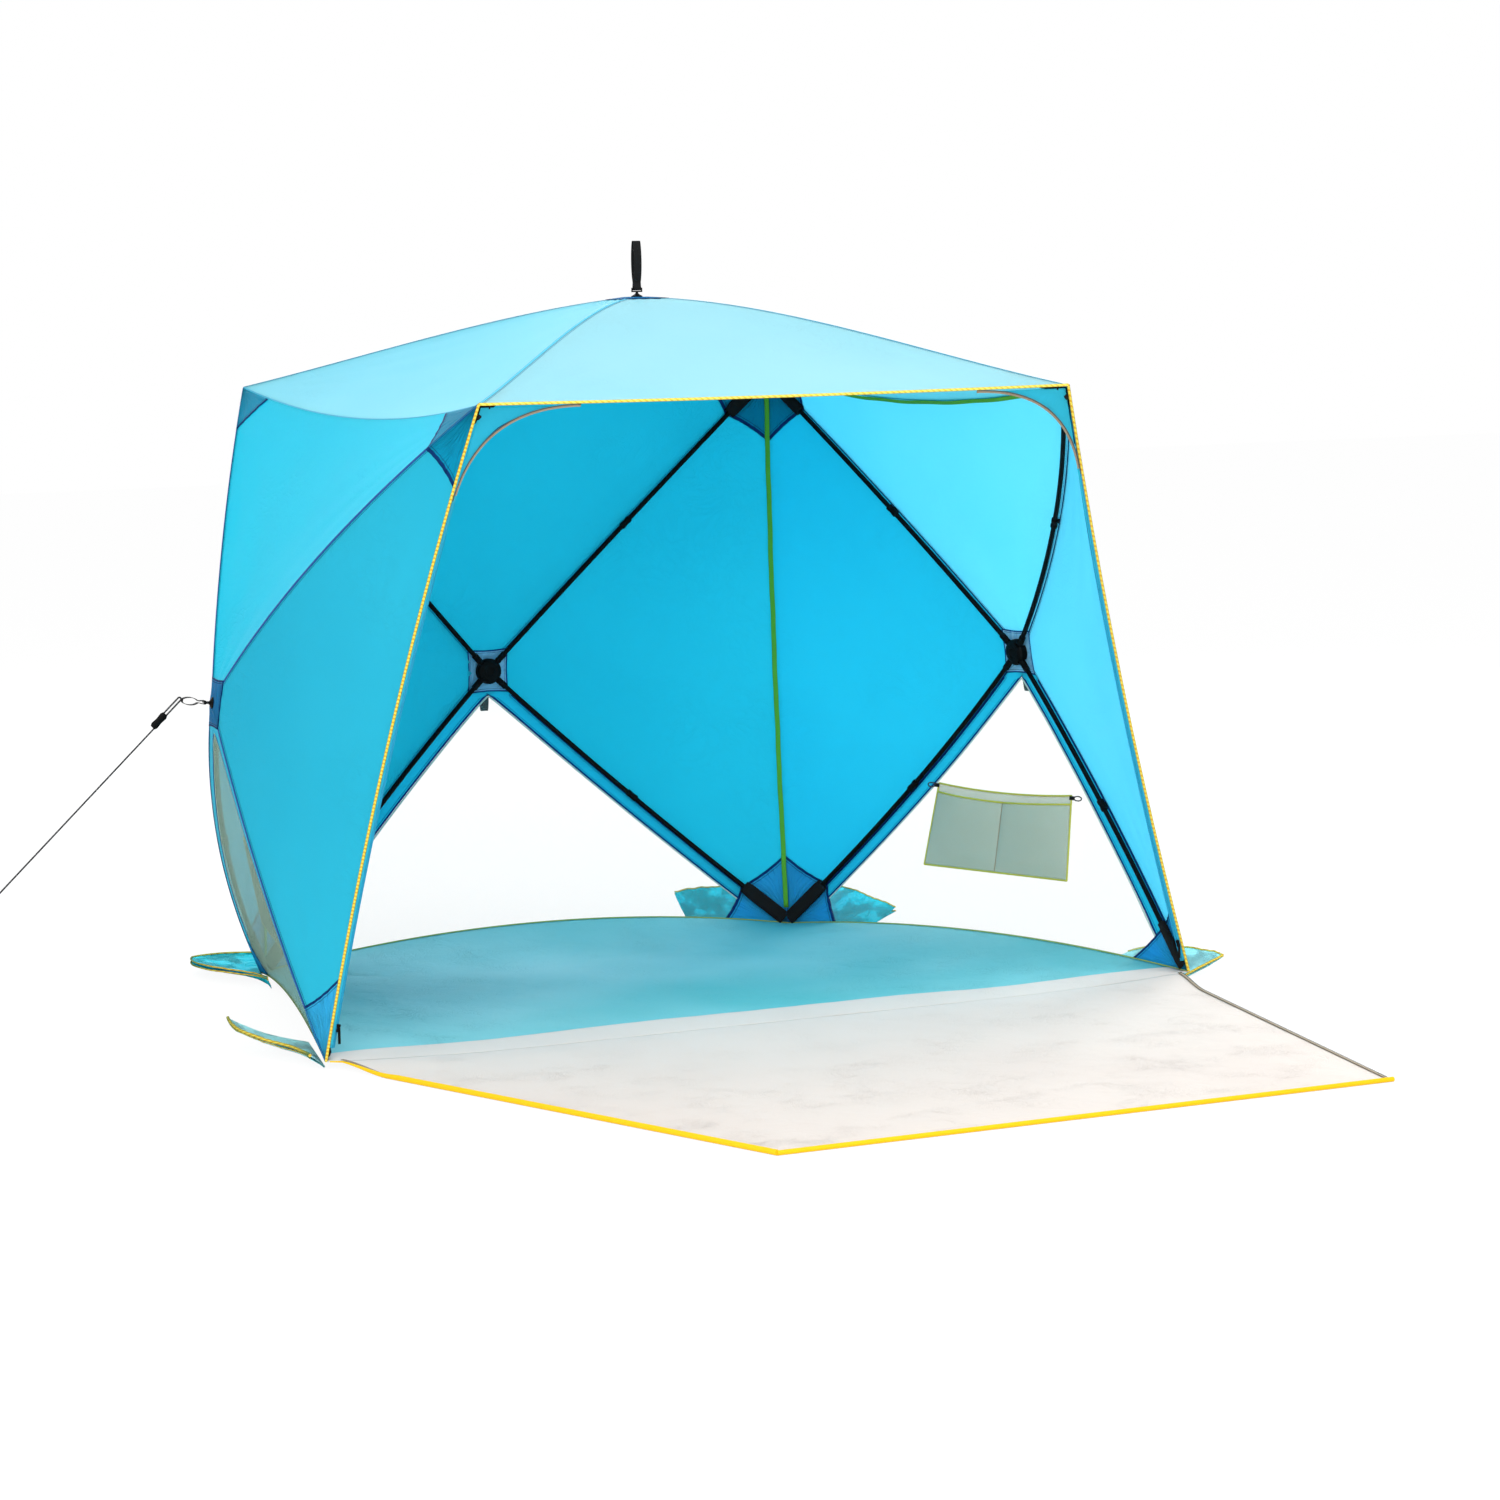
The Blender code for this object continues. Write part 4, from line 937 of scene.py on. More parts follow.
@dataclass
class HubFace:
    """One sprung face: a hub, four corners in order, and the cloth drawn over its poles."""

    name: str
    hub: Vector
    ring: tuple[str, str, str, str]
    over_bow: float = 0.002
    over_hub: float = 0.0145
    ring_radius: float = 0.031
    hole_radius: float = 0.0075
    cap_share: float = 0.03
    draw_in: float = 0.012
    strip: float = 0.060
    hold: float = 0.09

    def __post_init__(self) -> None:
        """Works out the face's outward normal."""
        points = [OUTLINE.corner(name) for name in self.ring]
        normal = (points[2] - points[0]).cross(points[3] - points[1]).normalized()
        middle = sum(points, Vector()) / 4
        self.normal = normal if normal.dot(self.hub - middle) > 0 else -normal
        self.corners = points

    def bow(self, index: int, t: float) -> float:
        """How far a pole bows outwards.

        Args:
            index: The pole's number.
            t: The share from the hub to the corner.

        Returns:
            The distance.
        """
        end, _, level = self.ring[index % 4].split("_")
        most = BOWS.get(self.name, BOWS["side"])[f"{end}_{level}"]
        return most * (6.75 * t * (1 - t) ** 2 if self.name == "roof" else 4 * t * (1 - t))

    def flat(self, way: Vector) -> Vector:
        """A direction's part in the hub's plane."""
        return way - self.normal * way.dot(self.normal)

    def arm(self, index: int) -> Vector:
        """From the hub to a corner, within the hub's plane."""
        return self.flat(self.corners[index % 4] - self.hub)

    def frame(self) -> Matrix:
        """The hub's frame: Z outwards, X near the upward direction."""
        guide = UP if abs(self.normal.z) < 0.9 else DEEP
        return axes_at(self.hub, self.flat(guide), self.normal)

    def rim_point(self, sector: int, u: float, radius: float) -> Vector:
        """A point of the flat cloth under the hub cap."""
        way = self.arm(sector).normalized().lerp(self.arm(sector + 1).normalized(), u)
        return self.hub + self.normal * self.over_hub + way.normalized() * radius

    def seam(self, index: int, s: float) -> Vector:
        """A point of the cloth over a pole.

        Args:
            index: The pole's number.
            s: The share from the corner to the hub's rim.

        Returns:
            The point.
        """
        rim = self.hub + self.arm(index).normalized() * self.ring_radius
        rim += self.normal * self.over_hub
        straight = self.corners[index % 4].lerp(rim, s)
        return straight + self.normal * (self.bow(index, 1 - s) + self.over_bow * 4 * s * (1 - s))

    def width(self, sector: int, s: float) -> float:
        """The distance between a sector's two seams."""
        return (self.seam(sector, s) - self.seam(sector + 1, s)).length

    def size(self, sector: int) -> tuple[float, float]:
        """A sector's width at its outer edge, and its length up to the hub."""
        return self.width(sector, 0), self.arm(sector).length

    def cloth(self, sector: int, u: float, s: float) -> Vector:
        """A point on the cloth's inner side, without folds.

        Args:
            sector: The sector, between one corner and the next.
            u: The share across the sector.
            s: The share from the outer edge to the hub; past 1, under the cap.

        Returns:
            The point.
        """
        if s > 1:
            share = min(1.0, (s - 1) / self.cap_share)
            return self.rim_point(sector, u, self.ring_radius
                                  + (self.hole_radius - self.ring_radius) * share)
        first, second = self.ring[sector], self.ring[(sector + 1) % 4]
        between = self.seam(sector, s).lerp(self.seam(sector + 1, s), u)
        sag = OUTLINE.sag(first, second) * 4 * u * (1 - u) * (1 - s) ** 2
        chord = self.arm(sector).normalized().lerp(self.arm(sector + 1).normalized(), u)
        rounding = (chord.normalized() - chord) * self.ring_radius * s ** 12
        depth = 0 if sector == SILL and self.name != "roof" else self.draw_in
        return between + sag + rounding - self.normal * depth * 16 * u * (1 - u) * s * (1 - s)

    def folds(self, sector: int, u: float, s: float) -> float:
        """How far tension folds lift the cloth; nothing at its seams and edges.

        Args:
            sector: The sector.
            u: The share across it.
            s: The share towards the hub.

        Returns:
            The height.
        """
        if s >= 1:
            return 0.0
        breadth, length = self.size(sector)
        height = 0.0
        for number, side in enumerate((u, 1 - u)):
            angle = math.atan2(s * length, side * breadth)
            reach = math.hypot(s * length, side * breadth)
            wave = math.cos(angle * 17 + sector * 1.7 + number * 2.3 + self.hub.x * 3)
            height += 0.0042 * wave * math.exp(-reach / 0.34)
        near_hub = math.exp(-(1 - s) * length / 0.22)
        height += 0.0016 * near_hub * math.cos(u * 21 + sector * 2.1)
        spot = self.cloth(sector, u, s)
        height += 0.0050 * noise.noise(spot * 2.3 + Vector((sector, 3.1, 0)))
        height += 0.0016 * noise.noise(spot * 7.0)
        return height * math.sqrt(max(0.0, 4 * u * (1 - u) * 4 * s * (1 - s)))

    def dressed(self, sector: int, u: float, s: float, lift: float = 0.0) -> Vector:
        """A point of the cloth with its folds, lifted outwards."""
        return (self.cloth(sector, u, s)
                + self.normal * (self.folds(sector, u, s) + lift))

    def drape(self, x: float, y: float, lift: float) -> Vector:
        """The cloth's point over a place in the hub's plane near the hub.

        Args:
            x: Along the hub frame's X.
            y: Along the hub frame's Y.
            lift: How far it is lifted outwards.

        Returns:
            The point.
        """
        turn = self.frame().to_3x3()
        way = turn.col[0] * x + turn.col[1] * y
        under_cap = self.hub + way + self.normal * (self.over_hub + lift)
        for sector in range(4):
            first, second = self.arm(sector), self.arm(sector + 1)
            whole = first.cross(second).dot(self.normal)
            a = way.cross(second).dot(self.normal) / whole
            b = first.cross(way).dot(self.normal) / whole
            if a >= -1e-6 and b >= -1e-6:
                total = a + b
                u = b / total if total > 1e-6 else 0.5
                s = (1 - total) / (1 - self.ring_radius / first.lerp(second, u).length)
                return under_cap if s >= 1 else self.cloth(sector, u, s) + self.normal * lift
        return under_cap

    def pole_bend(self, index: int) -> Bend:
        """The bend given to what lies along a pole, ending at the hub."""
        start = self.hub + self.arm(index) * (1 - self.hold)
        return Bend(f"{self.name}_hub", start, self.hub)

    def sector_bend(self, sector: int) -> Bend:
        """The bend given to a sector, in step with the poles' bends beside it.

        Args:
            sector: The sector's number.

        Returns:
            The bend.
        """
        first, second = self.arm(sector), self.arm(sector + 1)
        along = (second - first).normalized()
        arm = first - along * first.dot(along)
        return Bend(f"{self.name}_hub", self.hub + arm * (1 - self.hold), self.hub)

    def window_top(self) -> float:
        """The s at which the two strips beside the window meet.

        Returns:
            The share, from 0 at the sill to 1 at the hub.
        """
        low, high = 0.5, 1.0
        for _ in range(40):
            middle = (low + high) / 2
            if self.width(SILL, middle) > 2 * self.strip:
                low = middle
            else:
                high = middle
        return low


SIDE_HUB = Vector((1.056, 0.03, 0.741))
FACES = {face.name: face for face in (
    HubFace("roof", Vector((0.0, -0.03, 1.632)),
            ("front_left_top", "front_right_top", "back_right_top", "back_left_top")),
    HubFace("left", Vector((-SIDE_HUB.x, SIDE_HUB.y, SIDE_HUB.z)),
            ("front_left_low", "front_left_top", "back_left_top", "back_left_low")),
    HubFace("back", Vector((0.0, 0.922, 0.696)),
            ("back_left_low", "back_left_top", "back_right_top", "back_right_low")),
    HubFace("right", SIDE_HUB,
            ("front_right_low", "front_right_top", "back_right_top", "back_right_low")))}
# Each gore's finish paints light or shade: paler copies where light falls, a darker one on the
# back wall.
GORES = {"roof": (Finish.ROOF_FRONT, Finish.ROOF, Finish.ROOF, Finish.ROOF),
         "left": (Finish.WALL, Finish.WALL_SKYLIT, Finish.WALL),
         "back": (Finish.WALL_PAINTED_SHADE, Finish.WALL_PAINTED_SHADE, Finish.WALL_PAINTED_SHADE),
         "right": (Finish.WALL_SUNLIT, Finish.WALL_SUNLIT, Finish.WALL)}


@dataclass
class CanopyFace(Assembly):
    """A face's cloth: its sectors, the tapes over its poles, and its hub patches."""

    face: HubFace
    columns: int = 64
    rows: int = 52
    thickness: float = 0.0009
    tape_width: float = 0.0065
    patch_size: float = 0.114
    patch_inside: float = -0.0016
    flat_rows: float = 0.94

    def build(self) -> None:
        """Makes every piece of the face."""
        for sector in range(4):
            if sector == SILL and self.face.name != "roof":
                self.window_strips()
            else:
                self.gore(sector)
            self.seam_tape(sector)
        self.hub_patches()

    def cloth(self, name: str, mesh: Shape, finish: Finish, sector: int,
              flat: tuple[float, float]) -> None:
        """Makes a sheet of one sector, which replaces the face's CAD node.

        Args:
            name: The piece's name.
            mesh: Its shape.
            finish: What it is made of.
            sector: The sector.
            flat: Its width and length before cutting; not used.
        """
        face = self.face
        node = "roof_canopy" if face.name == "roof" else f"{face.name}_wall"
        piece = self.shop.piece(name, mesh, finish, face.sector_bend(sector), [node],
                                self.thickness, face.normal)

    def row(self, share: float) -> float:
        """Spaces the rows: the last few lie under the hub cap."""
        if share < self.flat_rows:
            return math.sin(share / self.flat_rows * math.pi / 2) ** 1.35 if share else 0.0
        return 1 + self.face.cap_share * (share - self.flat_rows) / (1 - self.flat_rows)

    def gore(self, sector: int) -> None:
        """Makes one full sector of cloth.

        Args:
            sector: The sector's number.
        """
        face = self.face

        def place(a: float, b: float) -> Vector:
            """A point of the cloth."""
            return face.dressed(sector, eased(a), self.row(b))

        def rim(a: float, b: float) -> float:
            """The distance to the nearer seam."""
            side = min(eased(a), 1 - eased(a))
            return side * face.width(sector, min(1.0, self.row(b))) * 0.7

        mesh = grid(place, self.columns, self.rows, face.size(sector), rim)
        self.cloth(f"{face.name}_cloth_{sector}", mesh, GORES[face.name][sector], sector,
                   face.size(sector))

    def window_strips(self) -> None:
        """Makes the blue strips beside a window, joined under the hub."""
        face, mesh, top = self.face, bmesh.new(), self.face.window_top()
        length = face.size(SILL)[1]
        for flip in (False, True):
            def share(a: float, b: float, mirror: bool = flip) -> float:
                """The share across the sector."""
                u = a * min(0.5, face.strip / face.width(SILL, b * top))
                return 1 - u if mirror else u

            def rim(a: float, b: float, across: Callable[[float, float], float] = share) -> float:
                """The distance to the nearer edge."""
                width = face.width(SILL, b * top)
                outer = min(across(a, b), 1 - across(a, b))
                return min(min(0.5, face.strip / width) - outer, outer) * width * 0.7

            grid(lambda a, b, across=share: face.dressed(SILL, across(a, b), b * top), 6, 60,
                 (face.strip, length), rim, mesh)
        end = 1 + face.cap_share
        grid(lambda a, b: face.dressed(SILL, a, top + (end - top) * b), 12, 6,
             (face.strip * 2, 0.06), lambda a, b: 0.02, mesh)
        self.cloth(f"{face.name}_window_strips", mesh, Finish.STRIP, SILL,
                   (2 * face.strip, length))

    def seam_tape(self, index: int) -> None:
        """Makes the tape sewn over a pole's seam, outside.

        Args:
            index: The pole's number.
        """
        face = self.face
        across = face.normal.cross(face.arm(index)).normalized()
        lift = face.normal * (self.thickness + 0.0003)
        mesh = ribbon(lambda b: face.seam(index, 0.002 + 0.992 * b) + lift, lambda b: across,
                      self.tape_width, 60, face.arm(index).length, 4)
        finish = Finish.SEAM_TAPE if face.name == "roof" else Finish.NAVY_TAPE
        self.shop.piece(f"{face.name}_seam_tape_{index}", mesh, finish, face.pole_bend(index),
                        (), 0.0006, face.normal)

    def hub_patches(self) -> None:
        """Makes the square patches that double the cloth at the hub, inside and outside."""
        face, size = self.face, self.patch_size
        # The inner patch takes the paler painted-light copy.
        for name, lift, finish in (
                ("inner", self.patch_inside, Finish.HUB_PATCH_INSIDE_PAINTED_LIGHT),
                ("outer", self.thickness + 0.0012, Finish.HUB_PATCH)):
            mesh = grid(lambda a, b, out=lift: face.drape((b - 0.5) * size, (a - 0.5) * size, out),
                        24, 24, (size, size), lambda a, b: size * min(a, 1 - a, b, 1 - b))
            near = [vert for vert in mesh.verts
                    if face.flat(vert.co - face.hub).length < face.hole_radius]
            bmesh.ops.delete(mesh, geom=near, context="VERTS")
            self.shop.piece(f"{face.name}_hub_patch_{name}", mesh, finish, f"{face.name}_hub",
                            (), 0.0006, face.normal)


@dataclass
class MeshWindow(Assembly):
    """The netting panel of a wall, hemmed between its two strips and the sill."""

    face: HubFace
    gap: float = 0.0006
    clear_of_strips: float = 0.004
    thickness: float = 0.0005

    def build(self) -> None:
        """Makes the window."""
        face = self.face
        top = face.window_top() - self.clear_of_strips
        breadth, length = face.size(SILL)

        def row(b: float) -> float:
            """The share from the sill to the hub."""
            return top * math.sin(b * math.pi / 2)

        def place(a: float, b: float) -> Vector:
            """A point of the netting."""
            edge = (face.strip + self.gap) / face.width(SILL, row(b))
            return face.dressed(SILL, edge + (1 - 2 * edge) * eased(a), row(b))

        def rim(a: float, b: float) -> float:
            """The distance to the nearer strip."""
            clear = face.width(SILL, row(b)) - 2 * face.strip
            return min(eased(a), 1 - eased(a)) * clear * 0.7

        finish = Finish.WINDOW_SHADED if face.name == "left" else Finish.WINDOW
        piece = self.shop.piece(f"{face.name}_window_mesh",
                                grid(place, 40, 40, (breadth, length), rim), finish,
                                face.sector_bend(SILL), [f"{face.name}_window"],
                                self.thickness, face.normal)
        length * top


@dataclass
class SprungPole(Assembly):
    """A fibreglass rod with its hub knuckle, mid clip and webbing boot."""

    face: HubFace
    index: int
    pin_circle: float = 0.020
    rod_radius: float = 0.006
    rod_start: float = 0.014
    setback: float = 0.032
    depth: float = 0.0105
    least_height: float = 0.027
    eye: float = 0.0062
    cheek: float = 0.0104
    boot_length: float = 0.118
    boot_half_width: float = 0.018
    sleeve: tuple[tuple[float, float], ...] = (
        (0, 0.0145), (0.0070, 0.0145), (0.0082, 0.0155), (0.0082, 0.022), (0.0076, 0.0226),
        (0.0076, 0.0245), (0.0082, 0.0251), (0.0082, 0.031), (0.0076, 0.0316),
        (0.0076, 0.0335), (0.0082, 0.0341), (0.0082, 0.041), (0.0075, 0.0428),
        (0.0062, 0.0434), (0, 0.0434))
    clip_half: tuple[tuple[float, float], ...] = (
        (0.0079, 0.0052), (0.0088, 0.006), (0.0088, 0.0145), (0.0072, 0.016), (0, 0.016))

    def __post_init__(self) -> None:
        """Works out the pole's two ends."""
        face, corner = self.face, self.face.corners[self.index]
        spoke = face.arm(self.index).normalized()
        self.across = face.normal.cross(spoke)
        self.pin = face.hub + spoke * self.pin_circle
        self.tip = (corner + (face.hub - corner).normalized() * self.setback
                    - face.normal * self.depth)
        self.tip.z = max(self.tip.z, self.least_height)
        self.chord = (self.tip - self.pin).length
        self.name = f"{face.name}_pole_{face.ring[self.index]}"

    def at(self, share: float) -> Vector:
        """A point on the rod, from its pin at 0 to its tip at 1."""
        bow = self.face.bow(self.index, max(share, 0.0))
        return self.pin.lerp(self.tip, share) + self.face.normal * bow

    def frame(self, share: float) -> Matrix:
        """A frame on the rod: X along it, Z outwards."""
        ahead = self.at(min(1.0, share + 0.002)) - self.at(max(0.0, share - 0.002))
        return axes_at(self.at(share), ahead, self.face.normal)

    def build(self) -> None:
        """Makes the pole's pieces."""
        bend, shop = self.face.pole_bend(self.index), self.shop
        start = self.rod_start / self.chord
        points = [self.at(start + (1 - start) * k / 56) for k in range(57)]
        shop.rod(f"{self.name}_rod", points, self.rod_radius, Finish.ROD, bend, [self.name], 4)
        shop.piece(f"{self.name}_knuckle", self.knuckle(), Finish.NYLON, bend)
        shop.piece(f"{self.name}_clip", self.clip(), Finish.NYLON, bend)
        frame = self.frame(0.5)
        turn = frame.to_3x3()
        tab = ribbon(lambda b: frame.translation + turn.col[2] * (0.0075 + 0.0065 * b),
                     lambda b: turn.col[0], 0.018, 4, 0.012)
        shop.piece(f"{self.name}_clip_tab", tab, Finish.BLACK_TAPE, bend, (), 0.001, self.across)
        shop.piece(f"{self.name}_boot", self.boot(), Finish.BLACK_TAPE, bend, smooth_angle=50)

    def knuckle(self) -> Shape:
        """The moulded end: an eye round the pin, a tongue and a ribbed ferrule.

        Returns:
            The shape.
        """
        mesh = bmesh.new()
        frame = self.frame(0.0)
        bmesh.ops.create_cone(mesh, cap_ends=True, segments=28, radius1=self.eye,
                              radius2=self.eye, depth=self.cheek,
                              matrix=frame @ Matrix.Rotation(math.pi / 2, 4, "X"))
        block(frame @ Matrix.Translation((0.008, 0, 0)), (0.016, self.cheek, 0.0115), 0.0012,
              mesh)
        return joined([mesh, turned(self.sleeve, self.frame(0.01)
                                    @ Matrix.Translation((-0.011, 0, 0))
                                    @ Matrix.Rotation(math.pi / 2, 4, "Y"))])

    def clip(self) -> Shape:
        """The snap clip at the middle of the rod, with its lug towards the cloth.

        Returns:
            The shape.
        """
        frame = self.frame(0.5)
        lower = [(radius, -height) for radius, height in reversed(self.clip_half)]
        ring = turned([*lower, *self.clip_half], frame @ Matrix.Rotation(math.pi / 2, 4, "Y"))
        return joined([ring, block(frame @ Matrix.Translation((0, 0, 0.0095)),
                                   (0.014, 0.005, 0.005), 0.0008)])

    def boot(self) -> Shape:
        """The flat webbing sleeve that holds the rod's tip at the corner.

        Returns:
            The shape.
        """
        low = 1 - self.boot_length / self.chord
        slim = 0.64 if self.name.endswith(("front_left_low", "front_right_low")) else 1.0

        def place(a: float, b: float) -> Vector:
            """A point of the sleeve.

            Args:
                a: The share round it.
                b: The share along it, towards the corner.

            Returns:
                The point.
            """
            share = low + (1.012 - low) * b
            frame = self.frame(min(share, 1.0))
            turn = frame.to_3x3()
            spot = frame.translation + turn.col[0] * max(0.0, share - 1) * self.chord
            wide = slim * self.boot_half_width * (0.86 + 0.14 * min(1.0, b * 7))
            high = 0.0074 - 0.0032 * clamp((b - 0.85) / 0.15)
            high += 0.0005 * math.sin(b * 46 + 1.3) * (1 - b)
            c, s = math.cos(math.tau * a), math.sin(math.tau * a)
            return (spot + turn.col[1] * math.copysign(abs(c) ** 0.5, c) * wide
                    + turn.col[2] * math.copysign(abs(s) ** 0.72, s) * high)

        mesh = grid(place, 36, 30, (0.08, self.boot_length),
                    lambda a, b: min(b, 1 - b) * self.boot_length)
        bmesh.ops.remove_doubles(mesh, verts=mesh.verts, dist=1e-6)
        rims = [edge for edge in mesh.edges if edge.is_boundary]
        bmesh.ops.holes_fill(mesh, edges=rims, sides=60)
        return mesh


@dataclass
class CornerPatch(Assembly):
    """The doubled cloth at a corner, inside and outside, on each wall that meets there."""

    corner: str
    reach: float = 0.18
    pole_share: float = 0.15
    edge_gap: float = 0.003

    def build(self) -> None:
        """Makes the corner's patches."""
        # Top corners take the darker painted-shade copy of the patch cloth.
        finish = Finish.PATCH_TOP if self.corner.endswith("top") else Finish.PATCH
        for wall in ("left", "back", "right"):
            face = FACES[wall]
            if self.corner not in face.ring:
                continue
            index = face.ring.index(self.corner)
            for layer, lift in (("inner", -0.0016), ("outer", 0.0018)):
                for half, sector in (("near", (index - 1) % 4), ("far", index)):
                    self.shop.piece(f"{self.corner}_patch_{wall}_{layer}_{half}",
                                    self.triangle(face, sector, half == "far", lift), finish,
                                    face.sector_bend(sector),
                                    [f"corner_patch_{self.corner}"], 0.0006, face.normal)

    def triangle(self, face: HubFace, sector: int, away: bool, lift: float) -> Shape:
        """The patch's half in one sector.

        Args:
            face: The wall.
            sector: The sector.
            away: Whether the sector's u grows away from the corner.
            lift: The distance from the cloth's inner side.

        Returns:
            The shape.
        """
        breadth, length = face.size(sector)
        deep = self.pole_share * length
        slope = self.reach * deep / math.hypot(self.reach, deep)

        def place(a: float, b: float) -> Vector:
            """A point of the patch."""
            u = self.reach / breadth * a * (1 - b)
            s = self.edge_gap + (self.pole_share - self.edge_gap) * b
            return face.dressed(sector, u if away else 1 - u, s, lift)

        return grid(place, 16, 16, (self.reach, deep), lambda a, b: (1 - b) * (1 - a) * slope)


@dataclass
class EdgeTrim(Assembly):
    """Piping, binding and tapes along the cloth's outer edges."""

    steps: int = 64
    seams: tuple[tuple[str, str, Finish, float], ...] = (
        ("front_left_top", "front_right_top", Finish.PIPING_PAINTED_LIGHT, 0.0034),
        ("front_left_top", "back_left_top", Finish.SEAM_TAPE, 0.0018),
        ("front_right_top", "back_right_top", Finish.SEAM_TAPE, 0.0018),
        ("back_left_top", "back_right_top", Finish.NAVY_TAPE, 0.0018),
        ("front_left_low", "front_left_top", Finish.PIPING, 0.0034),
        ("front_right_low", "front_right_top", Finish.PIPING, 0.0036),
        ("back_left_low", "back_left_top", Finish.NAVY_TAPE, 0.0018),
        ("back_right_low", "back_right_top", Finish.NAVY_TAPE, 0.0018),
        ("front_left_low", "back_left_low", Finish.PIPING, 0.0026),
        ("front_right_low", "back_right_low", Finish.SILL_PIPING_PAINTED_SHADE, 0.0022),
        ("back_left_low", "back_right_low", Finish.SILL_PIPING_PAINTED_SHADE, 0.0022))

    def build(self) -> None:
        """Makes every trim."""
        for first, second, finish, radius in self.seams:
            lift = UP * max(0.0, radius - 0.002)
            points = [OUTLINE.edge(first, second, k / self.steps) + lift
                      for k in range(self.steps + 1)]
            self.shop.rod(f"{first}_{second}_piping", points, radius, finish, self.shop.root,
                          resolution=3)
        for side, sign in (("left", -1), ("right", 1)):
            self.green_tape(f"rear_{side}", (f"back_{side}_low", f"back_{side}_top"),
                            Vector((-sign, -1, 0)), Vector((sign, -1, 0)), 0.013, 90,
                            lambda b: 0.0085 + (0.0015 * math.sin(b * 31)
                                                + 0.001 * math.sin(b * 83 + 1)))
        for side, sign in (("left", -1), ("right", 1)):
            self.green_tape(f"roof_{side}", (f"front_{side}_top", f"back_{side}_top"),
                            Vector((-sign, 0, -1)), Vector((sign, 0, -1)), 0.012, 80,
                            lambda b: 0.008 + 0.001 * math.sin(b * 40))

    def green_tape(self, name: str, seam: tuple[str, str], inward: Vector, across: Vector,
                   width: float, steps: int, stand: Callable[[float], float]) -> None:
        """Makes the green tape inside a seam.

        Args:
            name: The piece's name, before its ending.
            seam: The seam's two corners.
            inward: The direction into the shelter.
            across: The direction of the tape's width.
            width: The tape's width.
            steps: Faces along it.
            stand: Gives the distance from the seam, for a share along it.
        """
        inward, across = inward.normalized(), across.normalized()
        mesh = ribbon(lambda b: OUTLINE.edge(*seam, 0.03 + 0.94 * b) + inward * stand(b),
                      lambda b: across, width, steps, 1.4, 4)
        self.shop.piece(f"{name}_green_tape", mesh, Finish.GREEN_TAPE, self.shop.root, (),
                        0.001, inward)


